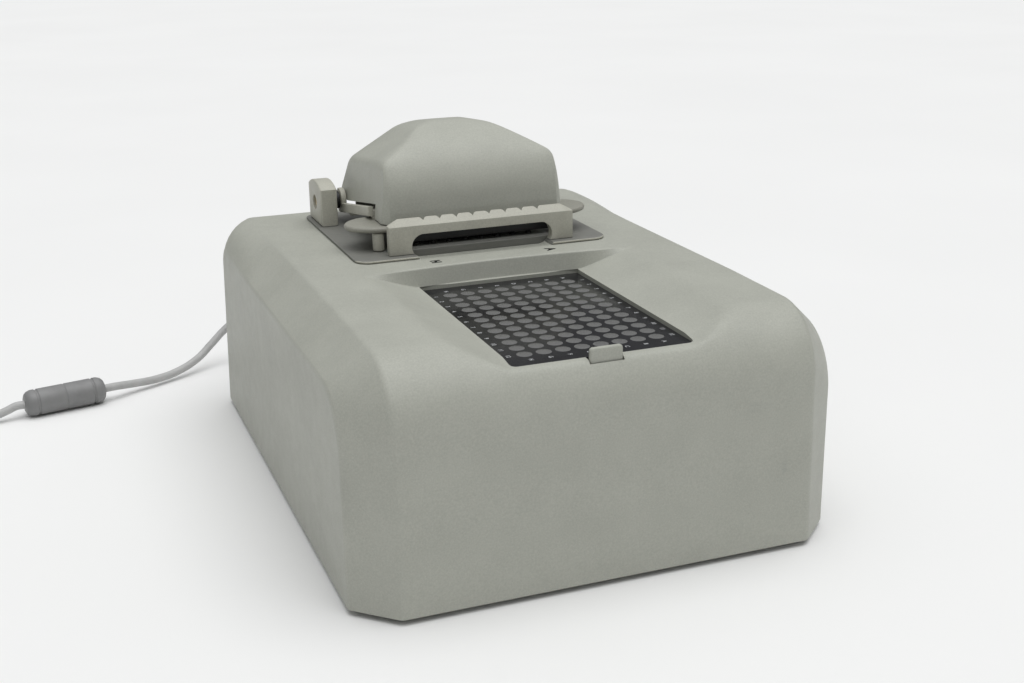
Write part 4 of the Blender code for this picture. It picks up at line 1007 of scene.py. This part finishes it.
def make_arm_frame():
    """The finger-tab plate with its full round edge, the two rails and the cross bar."""
    low, high = ARM_PLATE_Z
    round_edge = (high - low) / 2
    rings = []
    for turn in np.linspace(-math.pi / 2, math.pi / 2, 13):
        z = (low + high) / 2 + round_edge * math.sin(turn)
        rings.append([(x, y, z) for x, y in ear_outline(round_edge * (1.0 - math.cos(turn)))])
    smooth(piece("arm_plate_skin", skin_mesh(rings), "arm", "arm", ["arm_frame"]), 50.0)
    half = RAIL_HEIGHT / 2
    front_y, front_z = RAIL_FRONT
    straight = [(front_y, front_z - half), (HINGE_Y, RAIL_BACK_Z - half),
                (HINGE_Y, RAIL_BACK_Z + half), (front_y, front_z + half)]
    knuckle = circle((HINGE_Y, HINGE_Z), KNUCKLE_RADIUS, 60)
    for side, sign in SIDES:
        x0, x1 = sorted(sign * x for x in RAIL_X)
        rail = piece(f"arm_rail_{side}_skin", plate_mesh([straight], x0, x1, 0.0005, "x"), "warm",
                     "arm", ["arm_frame"])
        carve(rail, plate_mesh([knuckle], x0, x1, 0.0006, "x"), "UNION")
        carve(rail, rod_mesh(PIN_RADIUS + GAP, hinge_place(x0 - 0.001), hinge_place(x1 + 0.001), 48))
        smooth(rail, 40.0)
        w0, w1 = sorted(sign * x for x in WEB_X)
        web = box_mesh((w0, front_y + 0.0002, WEB_Z[0]), (w1, WEB_BACK_Y, WEB_Z[1]), 0.0005)
        smooth(piece(f"arm_web_{side}", web, "warm", "arm", ["arm_frame"]))
    smooth(piece("arm_cross_bar", box_mesh(*CROSS_BAR, 0.0008), "warm", "arm", ["arm_frame"]))
    smooth(piece("arm_cross_wall", box_mesh(*CROSS_WALL, 0.0005), "arm", "arm"))


def crossing(line, height, first):
    """Where a line of (across, up) points crosses a height, at its first or last crossing."""
    found = []
    for (a0, z0), (a1, z1) in zip(line, line[1:]):
        if min(z0, z1) <= height <= max(z0, z1) and z0 != z1:
            found.append(a0 + (a1 - a0) * (height - z0) / (z1 - z0))
    return min(found) if first else max(found)


def faceted(ring, steps, flats):
    """Flattens the round corners of a rectangle towards facets with softened edges."""
    for corner in range(4):
        start = corner * (steps + flats)
        first, last = Vector(ring[start]), Vector(ring[start + steps])
        for step in range(steps + 1):
            chord = first.lerp(last, step / steps)
            ring[start + step] = tuple(Vector(ring[start + step]).lerp(chord, COVER_FACET))
    return ring


def cover_rings():
    """Faceted rectangles that fit both outlines of the cover, from its foot to its crown."""
    front, side = rounded(COVER_FRONT, 16), rounded(COVER_SIDE, 16)
    foot, crown = COVER_SIDE[0][0][1], max(z for _, z in side)
    rings = []
    for step in range(COVER_RINGS):
        rise = math.sin(math.pi / 2 * step / (COVER_RINGS - 1))
        height = foot + (crown - 0.0001 - foot) * rise
        half = crossing(front, min(height, COVER_FRONT[-1][0][1] - 0.00005), False)
        y0, y1 = crossing(side, height, True), crossing(side, height, False)
        corner = np.interp(height, *zip(*COVER_CORNERS))
        corner = min(corner, half * 0.6, (y1 - y0) * 0.4)
        ring = faceted(rounded_rectangle(-half, half, y0, y1, corner, 8, 8), 8, 8)
        rings.append([(x, y, height - COVER_LEAN * (y - COVER_LEVEL_Y)) for x, y in ring])
    return rings


def make_cover():
    mesh = skin_mesh(cover_rings(), caps=(False, True))
    cover = skin("arm_cover", mesh, "cover", "arm")
    modified(cover, "SOLIDIFY", thickness=COVER_WALL, offset=-1.0)
    carve(cover, skin_mesh([[(x, y, z) for y, z in COVER_TRIM] for x in (-0.060, 0.060)]))
    smooth(cover, 34.0)
    for side, sign in SIDES:
        x0, x1 = sorted(sign * x for x in RIB_X)
        rib = plate_mesh([RIB_OUTLINE], x0, x1, 0.0003, "x")
        smooth(piece(f"cover_rib_{side}", rib, "putty", "arm"))


# Underside and rear

def make_feet():
    for end in ("front", "back"):
        for side, _ in SIDES:
            node = f"foot_{end}_{side}"
            low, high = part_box(node)
            x, y = (low.x + high.x) / 2, (low.y + high.y) / 2
            radius = (high.x - low.x) / 2
            profile = [(radius, 0.0), (radius, 0.0012), (radius - 0.0004, 0.0026),
                       (radius - 0.0012, 0.0031), (0.0045, 0.0031), (0.0040, 0.0026),
                       (0.0026, 0.0026), (0.0024, 0.0018)]
            smooth(skin(node, turned_mesh(profile, (x, y, 0.0031), (x, y, 0.0), 48), "rubber"))


def rear_place(x, z, out):
    """A point at a distance square out of the leaning rear wall."""
    lean = math.atan(REAR_SLOPE)
    y = HALF_DEPTH - REAR_SLOPE * (z - FOOT_HEIGHT)
    return Vector((x, y + out * math.cos(lean), z + out * math.sin(lean)))


def rear_turned(mesh, x, z):
    """Sets a mesh made about the origin, with +Y outwards, square on the leaning rear wall."""
    mesh.transform(Matrix.Translation(rear_place(x, z, 0.0))
                   @ Matrix.Rotation(math.atan(REAR_SLOPE), 4, "X"))
    return mesh


def moulded_rings(stations, corner, middle_x=0.0, middle_z=0.0):
    """Rounded rectangles along Y, from stations of (y, half width, half height)."""
    rings = []
    for y, half_x, half_z in stations:
        outline = rounded_rectangle(-half_x, half_x, -half_z, half_z, corner, 6)
        rings.append([(middle_x + x, y, middle_z + z) for x, z in outline])
    return rings


def grip_ribs(starts, depth, xs, half_z, middle_x=0.0, middle_z=0.0):
    """Small upright ribs on both sides of a plug, each from its start along Y."""
    meshes = []
    for y in starts:
        for sign in (-1, 1):
            x0, x1 = sorted(middle_x + sign * x for x in xs)
            meshes.append(box_mesh((x0, y, middle_z - half_z), (x1, y + depth, middle_z + half_z),
                                   0.0003, 2))
    return meshes


def make_plug():
    """The moulded plug at the rear socket, with grip ribs, and its ribbed strain relief."""
    stations = ((0.0, 0.0052, 0.0046), (0.0006, 0.0058, 0.0052), (0.0120, 0.0058, 0.0052),
                (0.0170, 0.0052, 0.0046), (0.0194, 0.0044, 0.0040), (PLUG_LENGTH, 0.0036, 0.0032))
    meshes = [skin_mesh(moulded_rings(stations, 0.0016)),
              box_mesh((-0.0040, -0.0120, -0.0036), (0.0040, 0.0010, 0.0036), 0.0003)]
    meshes += grip_ribs([0.0040 + 0.0018 * number for number in range(5)], 0.0008,
                        (0.0052, 0.0062), 0.0032)
    smooth(skin("lead_plug", rear_turned(joined(meshes), USB_X, SOCKET_Z), "lead"))
    profile = [(0.0036, 0.0)]
    ribs, groove = 6, 0.0007
    pitch = (RELIEF_LENGTH - GAP - 0.0012) / ribs
    for number in range(ribs):
        start = 0.0008 + number * pitch
        radius = 0.0043 - 0.0012 * number / ribs
        profile += [(radius, start), (radius, start + pitch * 0.55),
                    (radius - groove, start + pitch * 0.65), (radius - groove, start + pitch * 0.95)]
    profile.append((CORD_RADIUS + 0.0002, RELIEF_LENGTH - GAP))
    start, end = rear_place(USB_X, SOCKET_Z, PLUG_LENGTH + GAP), rear_place(USB_X, SOCKET_Z, 0.1)
    smooth(skin("lead_relief", turned_mesh(profile, start, end), "lead"), 30.0)


def make_sockets():
    """A thin metal rim round the mouth of each socket."""
    outer = rounded_rectangle(-0.0062, 0.0062, -0.0058, 0.0058, 0.0006, 3)
    mouth = rounded_rectangle(-0.0045, 0.0045, -0.0041, 0.0041, 0.0005, 3)
    rims = []
    for outlines, x in (([outer, mouth[::-1]], USB_X),
                        ([circle((0, 0), 0.0062), circle((0, 0), 0.0032)[::-1]], INLET_X)):
        rims.append(rear_turned(plate_mesh(outlines, -0.0008, -0.0001, 0.0002, "y"), x, SOCKET_Z))
    smooth(piece("socket_rims", joined(rims), "steel"))


# Signal lead

COIL_RADII = (0.0329, 0.0280, 0.0231)     # outer, middle and inner column of turns
COIL_HEIGHTS = (0.00265, 0.00750, 0.01235)
COIL_SLOTS = ((0, 0), (1, 0), (2, 0), (2, 1), (2, 2), (1, 2), (1, 1), (0, 1), (0, 2))
COIL_START = 78.0         # degrees, where the tail joins the outermost turn
COIL_STEPS = 24           # points to a turn
SHIFT_START = 287.0       # degrees into the first turn, where it starts to move to the next place
SHIFT_SPAN = 35.0         # degrees that a move takes; each later one starts this much earlier
TIE_ANGLE = -62.0         # degrees round the coil
TIE_Z = 0.0076


def coil_points():
    """The wound part of the lead, counter-clockwise from the tail to the top outer turn."""
    end_turn = 8 + (180.0 - COIL_START) / 360.0
    points = []
    for step in range(int(end_turn * COIL_STEPS) + 1):
        turns = step / COIL_STEPS
        turn, share = int(turns), turns % 1.0
        column, level = COIL_SLOTS[turn]
        radius, height = COIL_RADII[column], COIL_HEIGHTS[level]
        if turn + 1 < len(COIL_SLOTS):
            next_column, next_level = COIL_SLOTS[turn + 1]
            begin = (SHIFT_START - SHIFT_SPAN * turn) / 360.0
            moved = min(1.0, max(0.0, (share - begin) * 360.0 / SHIFT_SPAN))
            moved = moved * moved * (3.0 - 2.0 * moved)
            radius += (COIL_RADII[next_column] - radius) * moved
            height += (COIL_HEIGHTS[next_level] - height) * moved
        angle = math.radians(COIL_START + 360.0 * turns)
        points.append((COIL_CENTRE[0] + radius * math.cos(angle),
                       COIL_CENTRE[1] + radius * math.sin(angle), height))
    return points


def lead_points():
    right, left = Vector(FERRITE_RIGHT), Vector(FERRITE_LEFT)
    along = (left - right).normalized()
    out = PLUG_LENGTH + RELIEF_LENGTH + GAP
    points = [rear_place(USB_X, SOCKET_Z, out), rear_place(USB_X, SOCKET_Z, out + 0.0037)]
    points += [*LEAD_ROUTE, right - along * 0.006, right, right.lerp(left, 0.5), left,
               left + along * 0.005, *TAIL_ROUTE, *coil_points()]
    x, y = FAR_PLUG_FACE
    points += [(x - 0.0003, 0.1180, 0.0121), (x - 0.0003, 0.1110, 0.0096),
               (x, 0.1040, 0.0063), (x, y + 0.0030, 0.0048), (x, y + GAP, 0.0044)]
    return [Vector(point) for point in points]


def make_lead():
    curve = with_settings(bpy.data.curves.new("signal_lead", "CURVE"), dimensions="3D",
                          bevel_depth=CORD_RADIUS, bevel_resolution=6, resolution_u=5,
                          use_fill_caps=True)
    points = lead_points()
    spline = curve.splines.new("BEZIER")
    spline.bezier_points.add(len(points) - 1)
    for knot, place in zip(spline.bezier_points, points):
        knot.co = place
        knot.handle_left_type = knot.handle_right_type = "AUTO"
    return piece("signal_lead", curve, "lead", nodes=["lead_cord", "lead_tail", "lead_coil"]), points


def make_ferrite():
    """A moulded sleeve with a bead at each end and a parting groove at its middle."""
    start, end = Vector(FERRITE_RIGHT), Vector(FERRITE_LEFT)
    length = (end - start).length
    radius = 0.0079
    half = [(CORD_RADIUS + 0.0006, 0.0), (0.0046, 0.0002), (0.0060, 0.0008), (0.0071, 0.0020),
            (radius, 0.0042), (radius, 0.0064), (radius - 0.0005, 0.0069), (radius - 0.0005, 0.0076),
            (radius, 0.0081), (radius, length / 2 - 0.0006)]
    profile = half + [(radius - 0.0004, length / 2)]
    profile += [(r, length - along) for r, along in reversed(half)]
    return smooth(piece("ferrite_skin", turned_mesh(profile, start, end, 56), "ferrite",
                        nodes=["ferrite_sleeve"]), 34.0)


def make_far_plug():
    """The plug at the far end: a tapered moulding with grip ribs, and its metal shell."""
    low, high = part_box("far_plug")
    middle, half = (low + high) / 2, (high - low) / 2
    stations = [(low.y + (high.y - low.y) * share, half.x * wide, half.z * tall)
                for share, wide, tall in ((0.0, 0.86, 0.86), (0.03, 1.0, 1.0), (0.62, 1.0, 1.0),
                                          (0.80, 0.86, 0.94), (0.94, 0.62, 0.82), (1.0, 0.52, 0.72))]
    starts = [low.y + 0.0055 + 0.0019 * number for number in range(6)]
    meshes = [skin_mesh(moulded_rings(stations, 0.0018, middle.x, middle.z))]
    meshes += grip_ribs(starts, 0.0009, (half.x - 0.0006, half.x + 0.0004), 0.0026, middle.x,
                        middle.z)
    plug = smooth(skin("far_plug", joined(meshes), "lead"))
    low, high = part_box("far_plug_shell")
    shell = piece("far_shell_skin", box_mesh(low, high, 0.0004, 2), "steel",
                  nodes=["far_plug_shell"])
    thick, mouth_y = 0.0005, high.y - 0.0030
    carve(shell, box_mesh((low.x + thick, low.y - 0.001, low.z + thick),
                          (high.x - thick, mouth_y, high.z - thick)))
    for sign in (-1, 1):
        x = (low.x + high.x) / 2 + sign * 0.0027
        carve(shell, box_mesh((x - 0.0009, low.y + 0.0045, high.z - 0.001),
                              (x + 0.0009, low.y + 0.0065, high.z + 0.001)))
    smooth(shell)
    tongue = box_mesh((low.x + 0.0010, low.y + 0.0004, low.z + 0.0006),
                      (high.x - 0.0010, mouth_y, low.z + 0.0022), 0.0002, 1)
    smooth(piece("far_plug_tongue", tongue, "black"))
    return [plug, shell]


def make_tie():
    """A hook-and-loop strap round the turns of the coil."""
    angle = math.radians(TIE_ANGLE)
    outward = Vector((math.cos(angle), math.sin(angle), 0))
    sideways = Vector((-math.sin(angle), math.cos(angle), 0))
    middle = Vector((*COIL_CENTRE, TIE_Z)) + outward * COIL_RADII[1]
    rings = []
    for half_x, half_z in ((0.0076, 0.0075), (0.0083, 0.0080)):
        outline = rounded_rectangle(-half_x, half_x, -half_z + 0.0004, half_z, 0.0030, 8, 2)
        for side in (-0.0050, 0.0050):
            rings.append([middle + outward * a + sideways * side + Vector((0, 0, max(b, -0.0075)))
                          for a, b in outline])
    inner_low, inner_high, outer_low, outer_high = rings
    mesh = skin_mesh([inner_low, inner_high, outer_high, outer_low, inner_low], (False, False))
    return smooth(piece("lead_tie", welded(mesh), "tie"))


# Everything else

KEPT = {
    "tab_pin": "brass", "tab_spring": "steel", "path_actuator": "black",
    "hinge_bush_left": "black", "hinge_bush_right": "black", "base_pan": "steel",
    "spectrometer_module": "black", "flash_lamp_module": "steel", "main_board": "board",
    "fibre_bundle": "rubber", "rear_panel": "black", "usb_socket": "steel",
    "power_inlet": "black", "inlet_pin": "steel",
}


def refinish():
    """Detailed materials on the model's own pieces, whose shapes are already right."""
    for node, look in KEPT.items():
        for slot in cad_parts[node].material_slots:
            slot.material = LOOKS[look][0]


def main():
    make_camera()
    lead, points = make_lead()
    on_lead = [make_ferrite(), make_tie(), *make_far_plug()]
    for make in (make_stage, make_plug, make_sockets, make_feet, make_hood, make_well_map, make_tab,
                 make_platform, make_guide_bar, make_head, make_hinge, make_arm_frame, make_cover,
                 refinish):
        make()


main()
